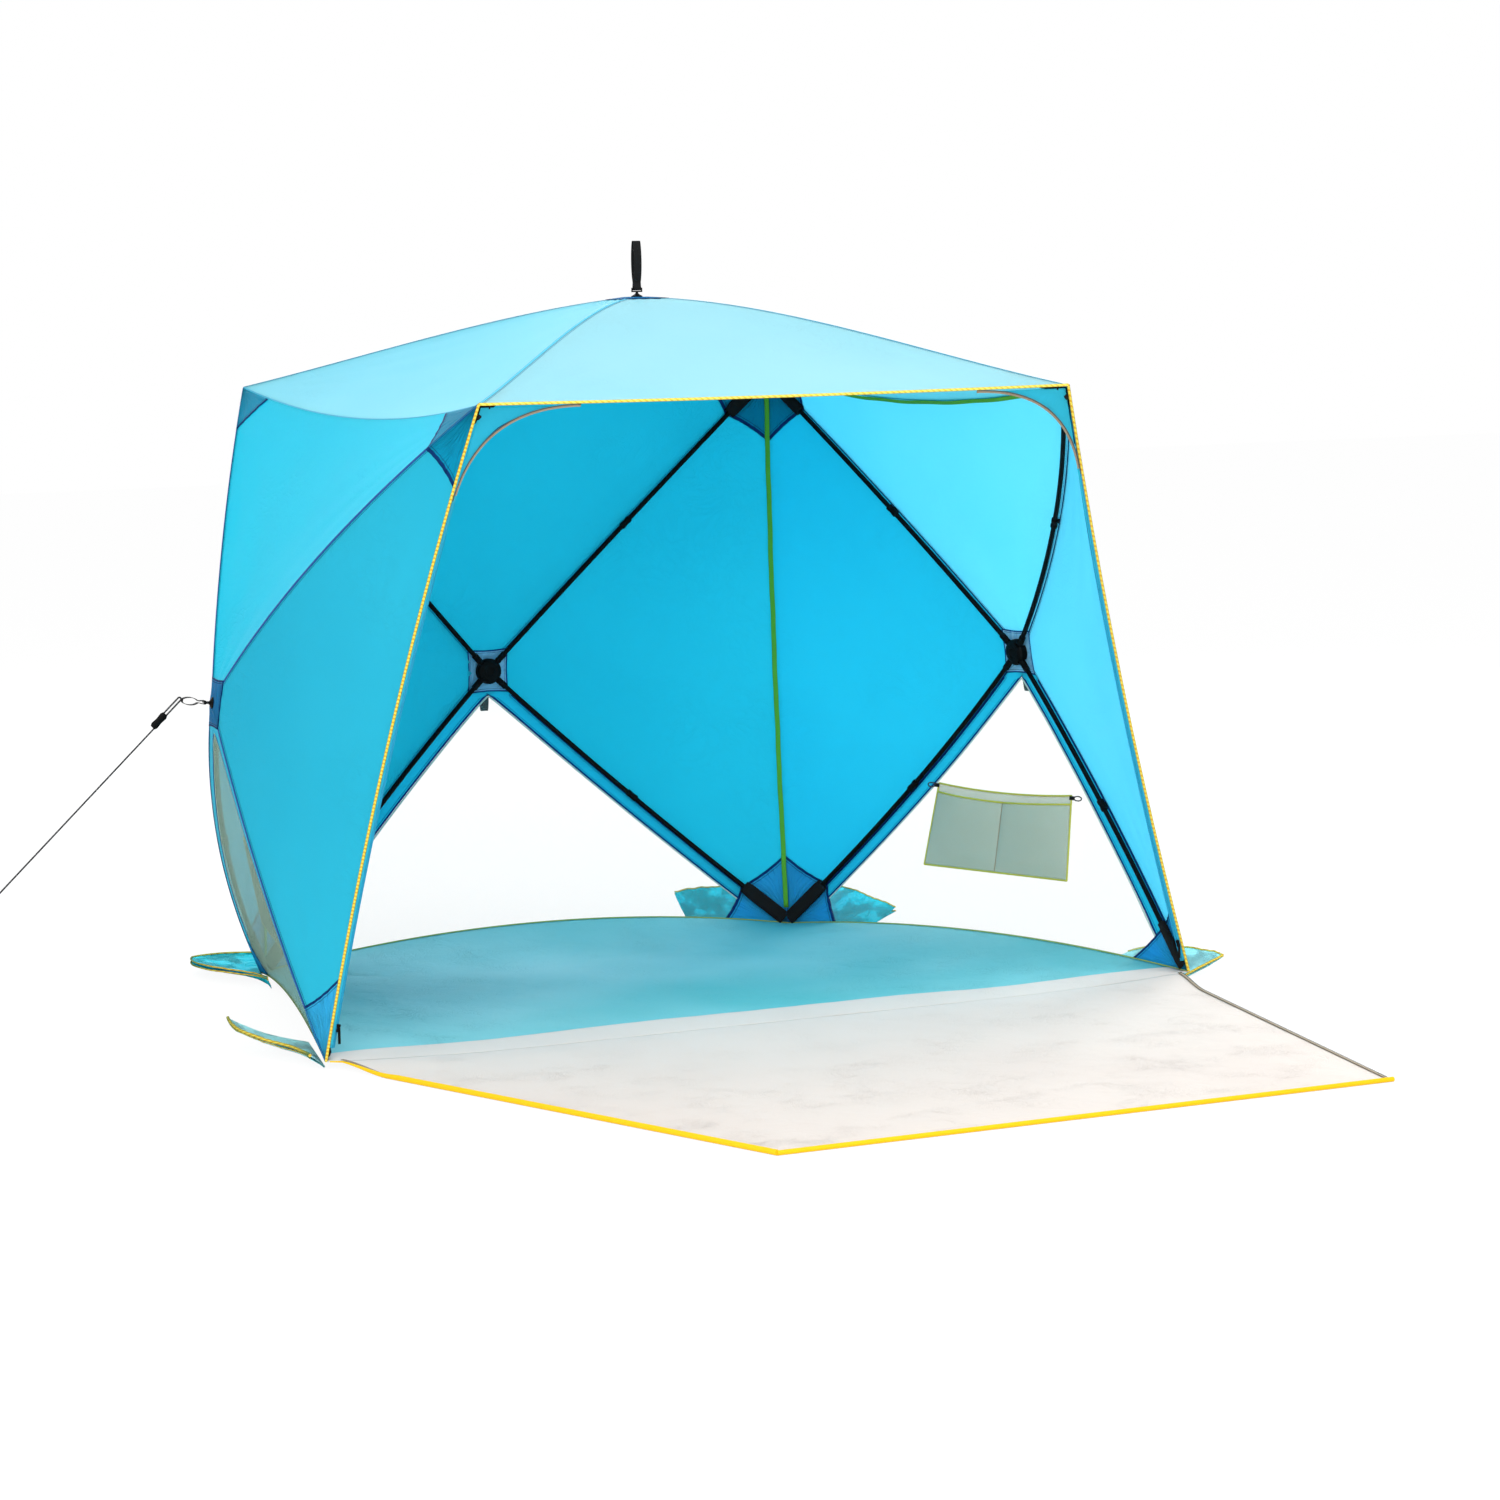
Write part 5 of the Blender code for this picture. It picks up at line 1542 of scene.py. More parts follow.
@dataclass
class DoorGusset(Assembly):
    """The web that rounds a top corner of the doorway, with the zip along its arc."""

    side: str
    on_leg: float = 0.20
    on_roof: float = 0.235
    zip_width: float = 0.0052
    leg_inset: float = 0.0125
    hem_inset: float = 0.0062
    low_gap: float = 0.02
    turn: float = 0.78
    zip_start: float = 0.775

    def __post_init__(self) -> None:
        """Works out the arc's three guiding points."""
        self.sign = -1 if self.side == "left" else 1
        self.leg = f"front_{self.side}_low", f"front_{self.side}_top"
        foot, self.corner = (OUTLINE.corner(name) for name in self.leg)
        self.leg_share = 1 - self.on_leg / (self.corner - foot).length
        self.leg_point = OUTLINE.edge(*self.leg, self.leg_share)
        along = self.on_roof / (2 * OUTLINE.top_front[0])
        self.roof_point = OUTLINE.edge("front_left_top", "front_right_top",
                                       along if self.side == "left" else 1 - along)
        self.inset = Vector((-self.sign * 0.006, 0.004, -0.006))

    def arc(self, share: float) -> Vector:
        """A point on the arc, from the leg to the roof's edge."""
        return (self.leg_point * (1 - share) ** 2 + self.corner * 2 * share * (1 - share)
                + self.roof_point * share ** 2 + self.inset)

    def outer(self, share: float) -> Vector:
        """A point on the web's outer edge, from the leg over the corner to the roof's edge."""
        start = self.leg_point.lerp(self.corner, min(1.0, 2 * share))
        return start.lerp(self.roof_point, max(0.0, 2 * share - 1)) + self.inset

    def on_edge(self, share: float) -> Vector:
        """A point on the leg below the arc."""
        return OUTLINE.edge(*self.leg, self.low_gap + (self.leg_share - self.low_gap) * share)

    def path(self, share: float) -> Vector:
        """A point on the zip's line, up the leg and round the arc.

        Args:
            share: The share along it.

        Returns:
            The point.
        """
        if share >= self.turn:
            return self.arc((share - self.turn) / (1 - self.turn))
        edge = Vector((-self.sign * self.leg_inset, 0.003, 0))
        return self.on_edge(share / self.turn) + edge.lerp(self.inset, (share / self.turn) ** 8)

    def across(self, share: float) -> Vector:
        """The direction of the zip's width."""
        ahead = self.path(min(1.0, share + 0.005)) - self.path(max(0.0, share - 0.005))
        return ahead.cross(DEEP).normalized()

    def build(self) -> None:
        """Makes the web, the leg's facing and the zip round them."""
        shop, root = self.shop, self.shop.root
        web = grid(lambda a, b: self.arc(a).lerp(self.outer(a), b), 40, 10, (0.36, 0.06),
                   lambda a, b: 0.003 + b * 0.05)
        shop.piece(f"{self.side}_gusset_web", web, Finish.GUSSET, root,
                   [f"{self.side}_door_gusset"], 0.0008, -DEEP)
        hem = Vector((-self.sign * self.hem_inset, 0, 0))
        facing = ribbon(lambda b: self.on_edge(b) + hem, lambda b: self.across(b * self.turn),
                        0.0105, 90, 1.35, 3)
        shop.piece(f"{self.side}_leg_facing", facing, Finish.GUSSET, root, (), 0.0006, -DEEP)
        front = Vector((0, -0.0022, 0))
        for name, low, high, tape_finish, coil_finish in (
                ("leg_zip", 0.0, self.zip_start, Finish.LEG_TAPE, Finish.LEG_TAPE),
                ("zip", self.zip_start, 1.0, Finish.ZIP_TAPE, Finish.COIL)):
            def at(b: float, start: float = low, end: float = high) -> float:
                """The share along the doorway's edge."""
                return start + (end - start) * b

            tape = ribbon(lambda b, part=at: self.path(part(b)) + front,
                          lambda b, part=at: self.across(part(b)), self.zip_width, 90,
                          1.7 * (high - low), 4)
            shop.piece(f"{self.side}_{name}_tape", tape, tape_finish, root, (), 0.0008, -DEEP)
            points = [self.path(at(k / 90)) + front * 2.1
                      + self.across(at(k / 90)) * self.sign * -0.003 for k in range(91)]
            shop.rod(f"{self.side}_{name}_coil", points, 0.0012, coil_finish, root)


def waves(x: float, y: float, *layers: tuple[float, float, float]) -> float:
    """Soft waves of cloth on the ground, from layers of (height, rate, seed)."""
    return sum(height * (1 + noise.noise(Vector((x * rate, y * rate, seed))))
               for height, rate, seed in layers)


@dataclass
class FloorSheet(Assembly):
    """The floor: flat on the ground, drawn up to the arched sills, softly crumpled."""

    inset: float = 0.0015
    base: float = 0.0004
    thickness: float = 0.0012
    apron_ends: float = 0.050
    apron_bow: float = 0.105
    apron_lap: float = 0.005

    def place(self, a: float, b: float) -> Vector:
        """A point of the floor.

        Args:
            a: The share from left to right.
            b: The share from front to back.

        Returns:
            The point.
        """
        size = OUTLINE
        half = (size.front_half_width + (size.back_half_width - size.front_half_width) * b
                - self.inset)
        x, y = (2 * a - 1) * half, (size.half_depth - self.inset) * (2 * b - 1)
        side = size.side_sill_lift * 4 * b * (1 - b) + (size.back_foot_height - size.sewn) * b
        side *= size.near_sill(1 - a) + size.near_sill(a)
        side += size.foot_rise(a) * (1 - b)
        back = (size.back_sill_lift * 4 * a * (1 - a) + size.sewn) * size.near_sill(1 - b)
        wave = waves(x, y, (0.0022, 3.1, 0.7), (0.0009, 11, 4.2))
        hold = min(1.0, 12 * min(a, 1 - a, b, 1 - b))
        return Vector((x, y, self.base + max(side, back) + wave * hold))

    def apron(self, a: float, b: float) -> Vector:
        """A point of the strip that faces the floor's front edge.

        Args:
            a: The share from left to right.
            b: The share from front to back.

        Returns:
            The point.
        """
        bow = self.apron_ends + self.apron_bow * math.sin(math.pi * a) ** 0.6
        point = self.place(a, b * bow / (2 * OUTLINE.half_depth)) + UP * 0.0018
        return point if b else point - Vector((0, self.apron_lap, 0))

    def build(self) -> None:
        """Makes the floor and the strip along its front."""
        size = (2 * (OUTLINE.front_half_width - self.inset), 2 * OUTLINE.half_depth)
        # The floor's teal colour is painted blue shade from the canopy.
        piece = self.shop.piece("floor_cloth", grid(self.place, 150, 110, size), Finish.FLOOR,
                                self.shop.root, ["floor_sheet"], self.thickness, UP)
        share = (OUTLINE.front_half_width + OUTLINE.back_half_width) / 2
        2 * share * size[1]
        apron = grid(self.apron, 150, 25, (size[0], self.apron_bow))
        self.shop.piece("floor_front_apron", apron, Finish.DOOR, self.shop.root, (), 0.0008, UP)


@dataclass
class DoorPanel(Assembly):
    """The unzipped door: a trapezoid laid out in front, bound in yellow at its far edge."""

    length: float = 1.385
    sill_half: float = 1.075
    far_half: float = 0.715
    hinge_y: float = -0.694
    base: float = 0.0004
    thickness: float = 0.0012
    root: float = 0.13
    tie: float = 0.018

    @property
    def carrier(self) -> Bend:
        """The bend given to the panel at the sill, which leaves it where it lies."""
        start = Vector((0, self.hinge_y, 0))
        return Bend("door", start, start - Vector((0, self.root * self.length * 0.7, 0)))

    def place(self, a: float, b: float) -> Vector:
        """A point of the panel.

        Args:
            a: The share from left to right.
            b: The share from the sill outwards.

        Returns:
            The point.
        """
        half = self.sill_half + (self.far_half - self.sill_half) * b
        x, y = (2 * a - 1) * half, self.hinge_y - self.length * b
        wave = waves(x, y, (0.0028, 2.6, 9.7), (0.0013, 9, 2.2))
        pull = 0.0016 * (1 + math.sin(x * 26 + y * 9)) * math.exp(-b * 5)
        hold = min(1.0, 10 * min(a, 1 - a, b + 0.02, 1 - b))
        feet = OUTLINE.foot_rise(a) * (1 - eased(clamp(b / self.root)))
        return Vector((x, y, self.base + feet + (wave + pull) * hold))

    def build(self) -> None:
        """Makes the panel and its trims."""
        shop, size = self.shop, (2 * self.sill_half, self.length)
        piece = shop.piece("door_cloth", grid(self.place, 150, 110, size), Finish.DOOR,
                           self.carrier, ["door_panel"], self.thickness, UP)
        self.binding("far", lambda k: self.place(k, 1.0), 0.0052, Finish.YELLOW_TAPE, "door")
        self.binding("left", lambda k: self.place(0.0, k), 0.0060, Finish.YELLOW_TAPE,
                     self.carrier)
        self.binding("right", lambda k: self.place(1.0, k), 0.0022, Finish.COIL, self.carrier)
        for side, edge, reach in (("left", 0.0, 0.0105), ("right", 1.0, -0.0055)):
            def centre(b: float, at: float = edge, step: float = reach) -> Vector:
                """The tape's middle line."""
                return self.place(at, b) + Vector((step, 0, 0.0030))

            shop.piece(f"door_{side}_zip_tape",
                       ribbon(centre, lambda b: ALONG, 0.0065, 90, self.length, 3),
                       Finish.ZIP_TAPE, self.carrier, (), 0.0008, UP)

    def binding(self, name: str, path: Path, radius: float, finish: Finish,
                carrier: str | Bend) -> None:
        """Makes a bound edge; the left one grows out of the foot.

        Args:
            name: The edge.
            path: Its line, for a share along it.
            radius: The binding's radius.
            finish: What it is made of.
            carrier: The body that it rides on, or a bend, which leaves it fixed in place.
        """
        swell = [clamp(0.25 + k / 16) if name == "left" else 1.0 for k in range(81)]
        points = [path(k / 80) + UP * (radius * share - 0.0002)
                  for k, share in enumerate(swell)]
        if name == "left":
            points[0] -= ALONG * self.tie
        self.shop.rod(f"door_{name}_binding", points, radius, finish, carrier, resolution=3,
                      radii=swell)


@dataclass(frozen=True)
class Curl:
    """How one sand pocket lies: the rise and depth of its two ends, and its mouth."""

    near_rise: float
    far_rise: float
    near_depth: float
    far_depth: float
    mouth: float
    grows: float
    tail: float
    crumple: float
    reach: float = 0.26
    top_radius: float = 0.0020
    bottom_radius: float = 0.0020
    near_radius: float = 0.0


SAND_CURLS = {
    "front_left_low": Curl(0.0, 0.040, 0.22, 1.25, 0.10, 1.0, 0.0, 0.5, 0.33, 0.0036, 0.0010),
    "front_right_low": Curl(0.012, 0.004, 1.0, 0.6, 0.5, 1.0, 0.0, 0.7, near_radius=0.0030),
    "back_left_low": Curl(0.0, 0.0, 0.06, 1.25, 0.16, 1.6, 0.95, 0.6),
    "back_right_low": Curl(0.024, 0.062, 1.0, 1.0, 1.0, 1.0, 0.0, 1.8)}


@dataclass
class SandPocket(Assembly):
    """A sand pocket at a foot: a cloth scoop along the sill, its bound mouth outwards."""

    corner: str
    reach: float = 0.26
    depth: float = 0.142
    standoff: float = 0.001
    mouth: float = 0.045
    lip: float = 0.022
    wall: float = 0.0016
    base: float = 0.0006
    steps: int = 72

    def __post_init__(self) -> None:
        """Looks up how the pocket lies."""
        self.curl = SAND_CURLS[self.corner]
        self.at_front = self.corner.startswith("front")

    def paths(self, share: float) -> tuple[Vector, Vector]:
        """The ground lines along the pocket.

        Args:
            share: The share of the pocket's length.

        Returns:
            The inner point and the outer point there.
        """
        side = self.corner.split("_")[1]
        sign = -1 if side == "left" else 1
        foot = OUTLINE.corner(self.corner)
        foot.z = 0
        low = OUTLINE.corner(f"back_{side}_low") - OUTLINE.corner(f"front_{side}_low")
        along = Vector((low.x, low.y, 0)).normalized()
        out = Vector((sign * along.y, -sign * along.x, 0)).normalized()
        out = out if out.x * sign > 0 else -out
        if self.at_front:
            place = foot + along * (0.02 + self.curl.reach * share)
        else:
            run = self.reach * (2 * share - 1)
            place = foot + (along * run if run < 0 else Vector((-sign, 0, 0)) * run)
            turn = clamp(0.5 + run / 0.16)
            out = out.lerp(DEEP, turn).normalized()
            out *= 1 + 0.25 * math.sin(math.pi * turn)
        return place + out * self.standoff, place + out * (self.standoff + self.depth)

    def place(self, a: float, b: float) -> Vector:
        """A point of the scoop.

        Args:
            a: The share along it.
            b: The share round from the bottom lip to the top lip.

        Returns:
            The point.
        """
        near, far = self.paths(a)
        curl, seed = self.curl, len(self.corner)
        grown = eased(min(1.0, curl.grows * a))
        shrunk = curl.tail * eased(clamp(4 * a - 2))
        far = near.lerp(far, curl.near_depth + (curl.far_depth - curl.near_depth) * grown
                        - shrunk)
        swell = curl.mouth * math.sin(math.pi * a) ** 0.7 if 0 < a < 1 else 0.0
        high = self.lip + (max(0.003, self.mouth * swell) + 2 * self.wall)
        out = abs(2 * b - 1)
        lift = self.base + self.lip * out if b < 0.5 else 0.004 + (high - 0.004) * out ** 0.8
        lift += out * out * (curl.near_rise * (1 - a) ** 2 + curl.far_rise * a * a)
        ruck = 0.0045 * noise.noise(Vector((a * 7, b * 5, self.depth * 31 + seed)))
        ruck += 0.0022 * noise.noise(Vector((a * 23, b * 11, seed))) * out
        lift += curl.crumple * ruck * min(1.0, 8 * out)
        return near.lerp(far, out) + UP * max(self.base, lift)

    def build(self) -> None:
        """Makes the scoop and its yellow bindings."""
        node = f"sand_pocket_{self.corner[:-4]}"
        size = (self.reach if self.at_front else 2 * self.reach, 2 * self.depth)
        # Front pockets take the paler painted-light copy of the sand pocket cloth.
        piece = self.shop.piece(f"{node}_cloth", grid(self.place, self.steps, 40, size),
                                Finish.SAND_PAINTED_LIGHT if self.at_front else Finish.SAND,
                                self.shop.root, [node], 0.0009, UP)
        for name, path, radius in (
                ("top", lambda k: self.place(k, 1.0), self.curl.top_radius),
                ("bottom", lambda k: self.place(k, 0.0), self.curl.bottom_radius),
                ("near", lambda k: self.place(0.0, 0.5 + k / 2), self.curl.near_radius)):
            if radius:
                points = [path(k / self.steps) + UP * 0.0012 for k in range(self.steps + 1)]
                self.shop.rod(f"{node}_{name}_binding", points, radius, Finish.PIPING,
                              self.shop.root)


@dataclass
class StoragePocket(Assembly):
    """A mesh organiser hung inside a side window, with two rooms and bound edges."""

    side: str
    width: float = 0.47
    height: float = 0.21
    depth: float = 0.022
    drop: float = 0.022
    top_height: float = 0.402
    standoff: float = -0.004
    shift: float = -0.018
    flare: float = 0.018

    def __post_init__(self) -> None:
        """Works out the pocket's frame: X along it, Y into the shelter, Z up the window."""
        face = FACES[self.side]
        low = (face.corners[3] + face.corners[0]) / 2
        way = face.corners[3] - face.corners[0]
        along = Vector((way.x, way.y, 0)).normalized()
        up_window = face.hub - low
        up_window = (up_window - along * up_window.dot(along)).normalized()
        inward = along.cross(up_window)
        inward = inward if inward.x * face.hub.x < 0 else -inward
        share = (self.top_height - low.z) / (face.hub.z - low.z)
        top = low.lerp(face.hub, share) + inward * self.standoff + along * self.shift
        turn = Matrix((inward.cross(up_window).normalized(), inward, up_window)).transposed()
        self.frame = Matrix.Translation(top) @ turn.to_4x4()

    def across(self, a: float, b: float) -> float:
        """The place along the pocket, which flares towards its bottom."""
        return (a - 0.5) * (self.width + 2 * self.flare * (1 - b))

    def back(self, a: float, b: float) -> Vector:
        """A point of the back: a along the pocket, b upwards."""
        sag = -0.010 * 4 * a * (1 - a) * b
        return self.frame @ Vector((self.across(a, b), 0.001, -self.height * (1 - b) + sag))

    def front(self, a: float, b: float) -> Vector:
        """A point of the front, which stands off the back in two rooms.

        Args:
            a: The share along the pocket.
            b: The share upwards.

        Returns:
            The point.
        """
        room = abs(math.sin(math.tau * a))
        out = 0.0018 + (self.depth - 0.004) * room ** 0.6 * (0.35 + 0.65 * b) * min(1, b * 6)
        ruck = 0.0025 * noise.noise(Vector((a * 7, b * 3, 4.1))) * b
        sag = -0.012 * 4 * a * (1 - a) * b
        return self.frame @ Vector((self.across(a, b), max(0.0018, out + ruck),
                                    -self.height + (self.height - self.drop) * b + sag))

    def build(self) -> None:
        """Makes the pocket, its bindings and its hooks."""
        shop, body, node = self.shop, f"{self.side}_pocket", f"{self.side}_storage_pocket"
        inward = self.frame.to_3x3().col[1]
        net = Finish.POCKET_SHADED if self.side == "left" else Finish.POCKET
        shop.piece(f"{node}_back", grid(self.back, 48, 20, (self.width, self.height)), net,
                   body, [node], 0.0006, -inward)
        shop.piece(f"{node}_front",
                   grid(self.front, 80, 24, (self.width, self.height - self.drop)), net, body,
                   (), 0.0006, inward)
        for name, path, steps, radius, finish in (
                ("top", lambda k: self.back(k, 1.0), 40, 0.0023, Finish.BINDING),
                ("band", lambda k: self.front(k, 1.0), 60, 0.0023, Finish.BINDING),
                ("bottom", lambda k: self.back(k, 0.0), 40, 0.0023, Finish.BINDING),
                ("near", lambda k: self.back(0.0, k), 20, 0.0023, Finish.BINDING),
                ("far", lambda k: self.back(1.0, k), 20, 0.0023, Finish.BINDING),
                ("middle", lambda k: self.front(0.5, k), 20, 0.0012, Finish.ZIP_TAPE)):
            points = [path(k / steps) + inward * 0.001 for k in range(steps + 1)]
            shop.rod(f"{node}_{name}_binding", points, radius, finish, body)
        self.hook(f"{self.side}_pocket_hook_near", -1, body)
        self.hook(f"{self.side}_pocket_hook_far", 1, body)

    def hook(self, name: str, sign: int, body: str) -> None:
        """Makes the webbing loop and the hook that hold one end to its pole.

        Args:
            name: The hook's name.
            sign: The end, -1 or 1.
            body: The body that carries it.
        """
        half, turn = self.width / 2, self.frame.to_3x3()
        tape = ribbon(lambda b: self.frame @ Vector((sign * (half - 0.004 + 0.018 * b), 0.004,
                                                     -0.006)),
                      lambda b: turn.col[2], 0.010, 6, 0.018)
        self.shop.piece(f"{name}_tab", tape, Finish.BLACK_TAPE, body, (), 0.001, turn.col[1])
        angles = [math.pi * 1.8 * k / 18 - math.pi * 0.9 for k in range(19)]
        points = [self.frame @ Vector((sign * (half + 0.024 + 0.013 * math.cos(angle)), 0.004,
                                       -0.006 + 0.0055 * math.sin(angle))) for angle in angles]
        self.shop.rod(name, points, 0.0016, Finish.CORD, body)


@dataclass
class PullStrap(Assembly):
    """A webbing loop folded round the hub cap's bar and sewn into a handle."""

    face: HubFace
    length: float
    hangs: bool
    body: str
    width: float = 0.019
    pivot: float = 0.037
    neck: float = 0.016
    gap: float = 0.0068
    fold: float = 0.09
    fold_radius: float = 0.0034

    def __post_init__(self) -> None:
        """Works out the strap's frame: the bar along Y, the loop's length along Z."""
        self.frame = self.face.frame() @ Matrix.Translation((0, 0, self.pivot))
        if self.hangs:
            turn = self.frame.to_3x3()
            angle = math.atan2(-turn.col[0].z, -turn.col[2].z)
            self.frame = self.frame @ Matrix.Rotation(angle, 4, "Y")

    def outline(self, share: float) -> tuple[float, float]:
        """The tape's middle line from one neck round to the other.

        Args:
            share: The share along it.

        Returns:
            The place sideways and upwards.
        """
        rise = 1 - abs(2 * share - 1)
        side = -1 if share < 0.5 else 1
        span = self.length - self.neck
        height = self.neck + (span - 0.0012) * math.sin(rise * math.pi / 2)
        bulge = self.gap * math.sin(math.pi * clamp((height - self.neck) / span)) ** 0.6
        return side * (0.0011 + bulge * (1 if rise < 1 else 0)), height

    def path(self, b: float) -> Vector:
        """The tape's middle line, with its fold round the bar.

        Args:
            b: The share along it.

        Returns:
            The point.
        """
        if self.fold <= b <= 1 - self.fold:
            x, z = self.outline((b - self.fold) / (1 - 2 * self.fold))
            return self.frame @ Vector((x, 0, z))
        hand, part = (-1, b / self.fold) if b < self.fold else (1, (1 - b) / self.fold)
        if part > 0.72:
            rest = (part - 0.72) / 0.28
            x = 0.0033 + (0.0011 - 0.0033) * rest
            return self.frame @ Vector((hand * x, 0, 0.001 + (self.neck - 0.001) * rest))
        angle = math.radians(-90 + 118 * part)
        return self.frame @ Vector((hand * self.fold_radius * math.cos(angle), 0,
                                    self.fold_radius * math.sin(angle)))

    def build(self) -> None:
        """Makes the loop and its stitching."""
        across = self.frame.to_3x3().col[1]
        name = f"{self.face.name}_pull_strap"
        loop = ribbon(self.path, lambda b: across, self.width, 140, 2 * self.length, 6)
        self.shop.piece(f"{name}_loop", loop, Finish.BLACK_TAPE, self.body, [name], 0.0014,
                        smooth_angle=60)
        threads = [block(self.frame @ Matrix.Translation((side * 0.0026, 0,
                                                          0.0055 + 0.0022 * number)),
                         (0.0006, self.width * 0.72, 0.0009), 0.0002)
                   for number in range(5) for side in (-1, 1)]
        self.shop.piece(f"{name}_bartack", joined(threads), Finish.BLACK_TAPE, self.body)


@dataclass
class GuyLine(Assembly):
    """The taut guy line from the left strap, its tensioner, return strand and end knot."""

    ground: tuple[float, float, float] = (-1.95, 0.05, 0.008)
    strap_length: float = 0.052
    pivot: float = 0.037
    radius: float = 0.002
    strand_gap: float = 0.008
    strand_length: float = 0.062
    knot: float = 0.0075
    body: str = "left_hub"

    def build(self) -> None:
        """Makes the line and what is on it."""
        shop, face, ground = self.shop, FACES["left"], Vector(self.ground)
        start = face.hub + face.normal * (self.pivot + self.strap_length + 0.0028)
        way = (ground - start).normalized()
        beside = DEEP.cross(way).normalized() * self.strand_gap
        reach = (ground - start).length - self.knot - 0.0004
        bend = Bend(self.body, ground, start)
        points = [start + way * reach * k / 16 for k in range(17)]
        line = shop.rod("guy_line_cord", points, self.radius, Finish.CORD, bend, ["guy_line"], 3)
        back = [start + beside + way * self.strand_length * k / 4 for k in range(5)]
        strand = shop.rod("guy_return_cord", back, self.radius, Finish.CORD, bend,
                          ["guy_return"], 3)
        turn = [start.lerp(start + beside, 0.5)
                + beside * 0.5 * math.cos(math.pi * k / 12)
                - way * 0.5 * self.strand_gap * math.sin(math.pi * k / 12) for k in range(13)]
        loop = shop.rod("guy_loop_cord", turn, self.radius, Finish.CORD, self.body,
                        resolution=3)
        knot = bmesh.new()
        for number in range(3):
            bead = bmesh.ops.create_icosphere(knot, subdivisions=3, radius=self.knot * 0.72)
            shift = Matrix.Translation(ground + way * (number - 1) * 0.003
                                       + beside.normalized() * 0.0016 * (-1) ** number)
            bmesh.ops.transform(knot, matrix=shift, verts=bead["verts"])
        tied = shop.piece("guy_knot", knot, Finish.CORD, bend, ["guy_end_knot"])
        tensioner = shop.paint("guy_tensioner", Finish.NYLON)
        2 * self.radius
        [tuple(p) for p in points]


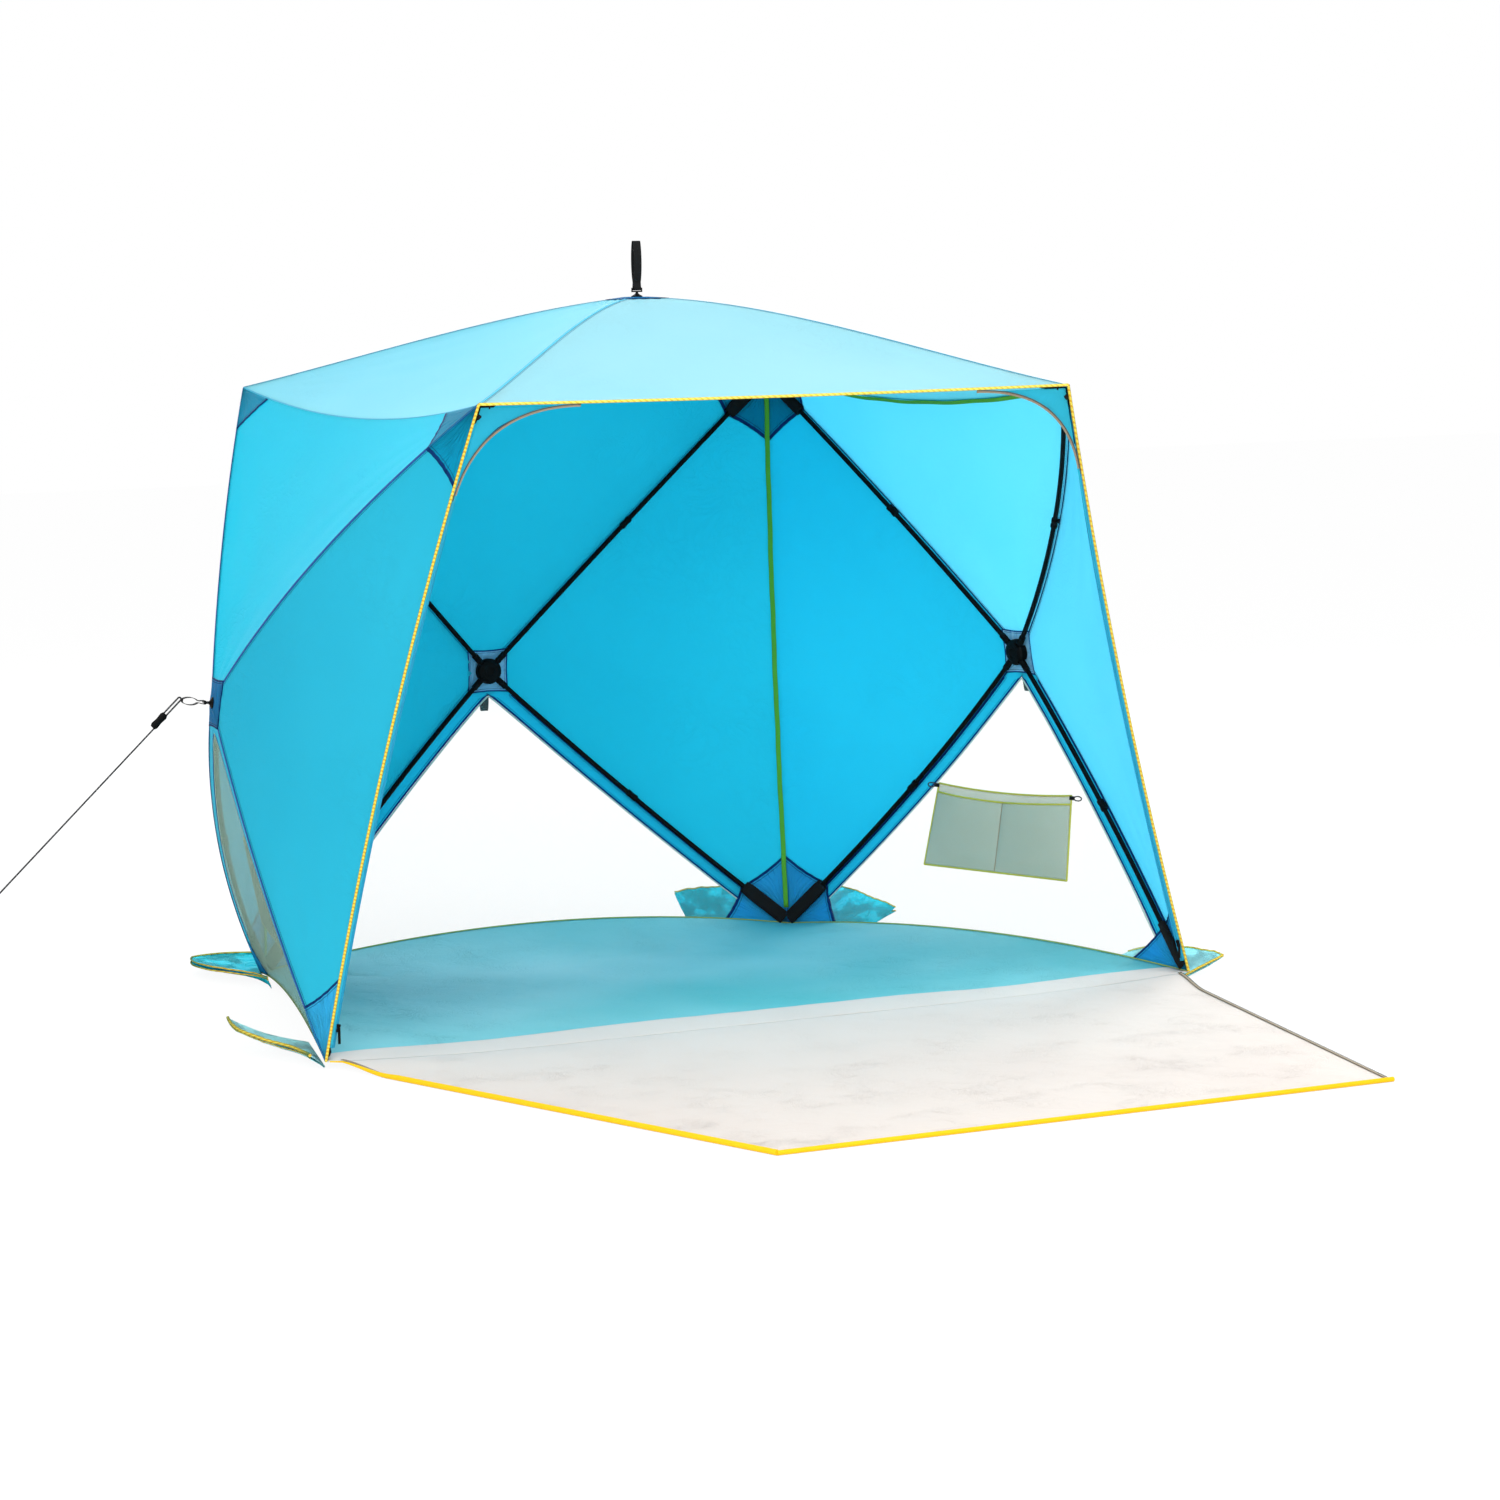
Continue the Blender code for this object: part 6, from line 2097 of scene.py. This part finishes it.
@dataclass(frozen=True)
class Studio:
    """The camera at the photograph's angle, plain soft light and a white floor."""

    azimuth: float = -0.46471
    elevation: float = 0.10232
    roll: float = -0.02242
    distance: float = 10.49873
    focal_pixels: float = 4380.84
    image_pixels: float = 1500.0
    sensor: float = 36.0
    slide: tuple[float, float] = (0.26281, -0.23231)
    aim_height: float = 0.8
    lamp_aim: tuple[float, float, float] = (0, 0, 0.7)
    lamps: tuple[tuple[str, tuple[float, float, float], float, float], ...] = (
        ("key", (1.3, -3.5, 9.0), 4.0, 390.0),
        ("fill", (-5.2, -7.4, 3.6), 6.0, 460.0),
        ("right", (7.3, 4.0, 2.1), 4.0, 570.0),
        ("back", (0.5, 6.5, 3.5), 5.0, 375.0))

    def place(self, name: str, data: bpy.types.ID, matrix: Matrix) -> bpy.types.Object:
        """Links a camera, a lamp or the floor into the scene.

        Args:
            name: The object's name.
            data: Its data.
            matrix: Where it stands.

        Returns:
            The object.
        """
        holder = bpy.data.objects.new(name, data)
        holder.matrix_world = matrix
        bpy.context.scene.collection.objects.link(holder)
        return holder

    def camera(self) -> None:
        """Places the camera."""
        sin_a, cos_a = math.sin(self.azimuth), math.cos(self.azimuth)
        sin_e, cos_e = math.sin(self.elevation), math.cos(self.elevation)
        forward = Vector((-sin_a * cos_e, cos_a * cos_e, -sin_e))
        level = Vector((cos_a, sin_a, 0))
        upward = level.cross(forward)
        right = level * math.cos(self.roll) + upward * math.sin(self.roll)
        top = upward * math.cos(self.roll) - level * math.sin(self.roll)
        eye = (Vector((0, 0, self.aim_height)) - forward * self.distance
               + right * self.slide[0] + top * self.slide[1])
        data = bpy.data.cameras.new("camera")
        data.sensor_fit = "HORIZONTAL"
        data.sensor_width = self.sensor
        data.lens = self.focal_pixels / self.image_pixels * self.sensor
        data.clip_end = 100.0
        turn = Matrix((right, top, -forward)).transposed().to_4x4()
        bpy.context.scene.camera = self.place("camera", data, Matrix.Translation(eye) @ turn)

    def lights(self) -> None:
        """Lights the studio from above, the right, the front and the back, and from a sky."""
        for name, spot, size, watts in self.lamps:
            data = bpy.data.lights.new(name, "AREA")
            data.shape = "SQUARE"
            data.size = size
            data.energy = watts
            turn = (Vector(self.lamp_aim) - Vector(spot)).to_track_quat("-Z", "Y")
            self.place(name, data, Matrix.Translation(spot) @ turn.to_matrix().to_4x4())
        world = bpy.data.worlds.new("studio")
        world.use_nodes = True
        graph = Graph(world.node_tree)
        path = graph.add("LightPath")
        seen = path["Is Camera Ray"].math("MAXIMUM", path["Is Glossy Ray"])
        seen = seen.math("MAXIMUM", path["Is Transmission Ray"])
        strength = seen.math("MULTIPLY_ADD", 0.32, 0.68)
        sky = graph.add("Background", {"Color": (1, 1, 1, 1), "Strength": strength})
        graph.add("OutputWorld", {"Surface": sky})
        bpy.context.scene.world = world

    def floor(self) -> None:
        """Adds the floor, white to the camera with the shelter's own soft shadow."""
        mesh = bmesh.new()
        bmesh.ops.create_grid(mesh, x_segments=1, y_segments=1, size=30.0)
        bmesh.ops.translate(mesh, verts=mesh.verts, vec=(0, 0, -0.0005))
        data = bpy.data.meshes.new("studio_floor")
        mesh.to_mesh(data)
        mesh.free()
        material = bpy.data.materials.new("studio_floor")
        material.use_nodes = True
        graph = Graph(material.node_tree)
        matt = graph.add("BsdfPrincipled", {"Base Color": (0.92, 0.92, 0.92, 1),
                                            "Roughness": 0.9, SPECULAR: 0.0})
        glow = graph.add("Emission", {"Color": (1, 1, 1, 1), "Strength": 1.03})
        share = graph.add("LightPath")["Is Camera Ray"] * 0.9
        mix = graph.add("MixShader", {0: share, 1: matt, 2: glow})
        graph.add("OutputMaterial", {"Surface": mix})
        data.materials.append(material)
        self.place("studio_floor", data, Matrix())

    def build(self) -> None:
        """Sets up the whole studio."""
        self.camera()
        self.lights()
        self.floor()
        bpy.context.scene.view_settings.view_transform = "Standard"


def main() -> None:
    """Builds the shelter's pieces in order."""
    logging.basicConfig(level=logging.INFO, format="%(message)s")
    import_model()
    Studio().build()
    shop = Workshop()
    GuyLine(shop).build()
    for face in FACES.values():
        CanopyFace(shop, face).build()
        if face.name != "roof":
            MeshWindow(shop, face).build()
        for index in range(4):
            SprungPole(shop, face, index).build()
    for level in ("low", "top"):
        for corner in ("front_left", "front_right", "back_left", "back_right"):
            CornerPatch(shop, f"{corner}_{level}").build()
            if level == "low":
                SandPocket(shop, f"{corner}_{level}").build()
    EdgeTrim(shop).build()
    for side in ("left", "right"):
        DoorGusset(shop, side).build()
        StoragePocket(shop, side).build()
    FloorSheet(shop).build()
    DoorPanel(shop).build()
    for name, length, hangs, body in (
            ("roof", 0.112, False, "roof_strap"), ("left", 0.052, False, "left_hub"),
            ("back", 0.105, True, "back_strap"), ("right", 0.105, True, "right_strap")):
        PullStrap(shop, FACES[name], length, hangs, body).build()
        shop.paint(f"{name}_hub", Finish.NYLON)
        shop.paint(f"{name}_hub_cap", Finish.NYLON)
    for side in ("left", "right"):
        shop.paint(f"{side}_zip_slider", Finish.NYLON)
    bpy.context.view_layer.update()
    LOG.info("%d pieces", shop.count)


if __name__ == "__main__":
    main()
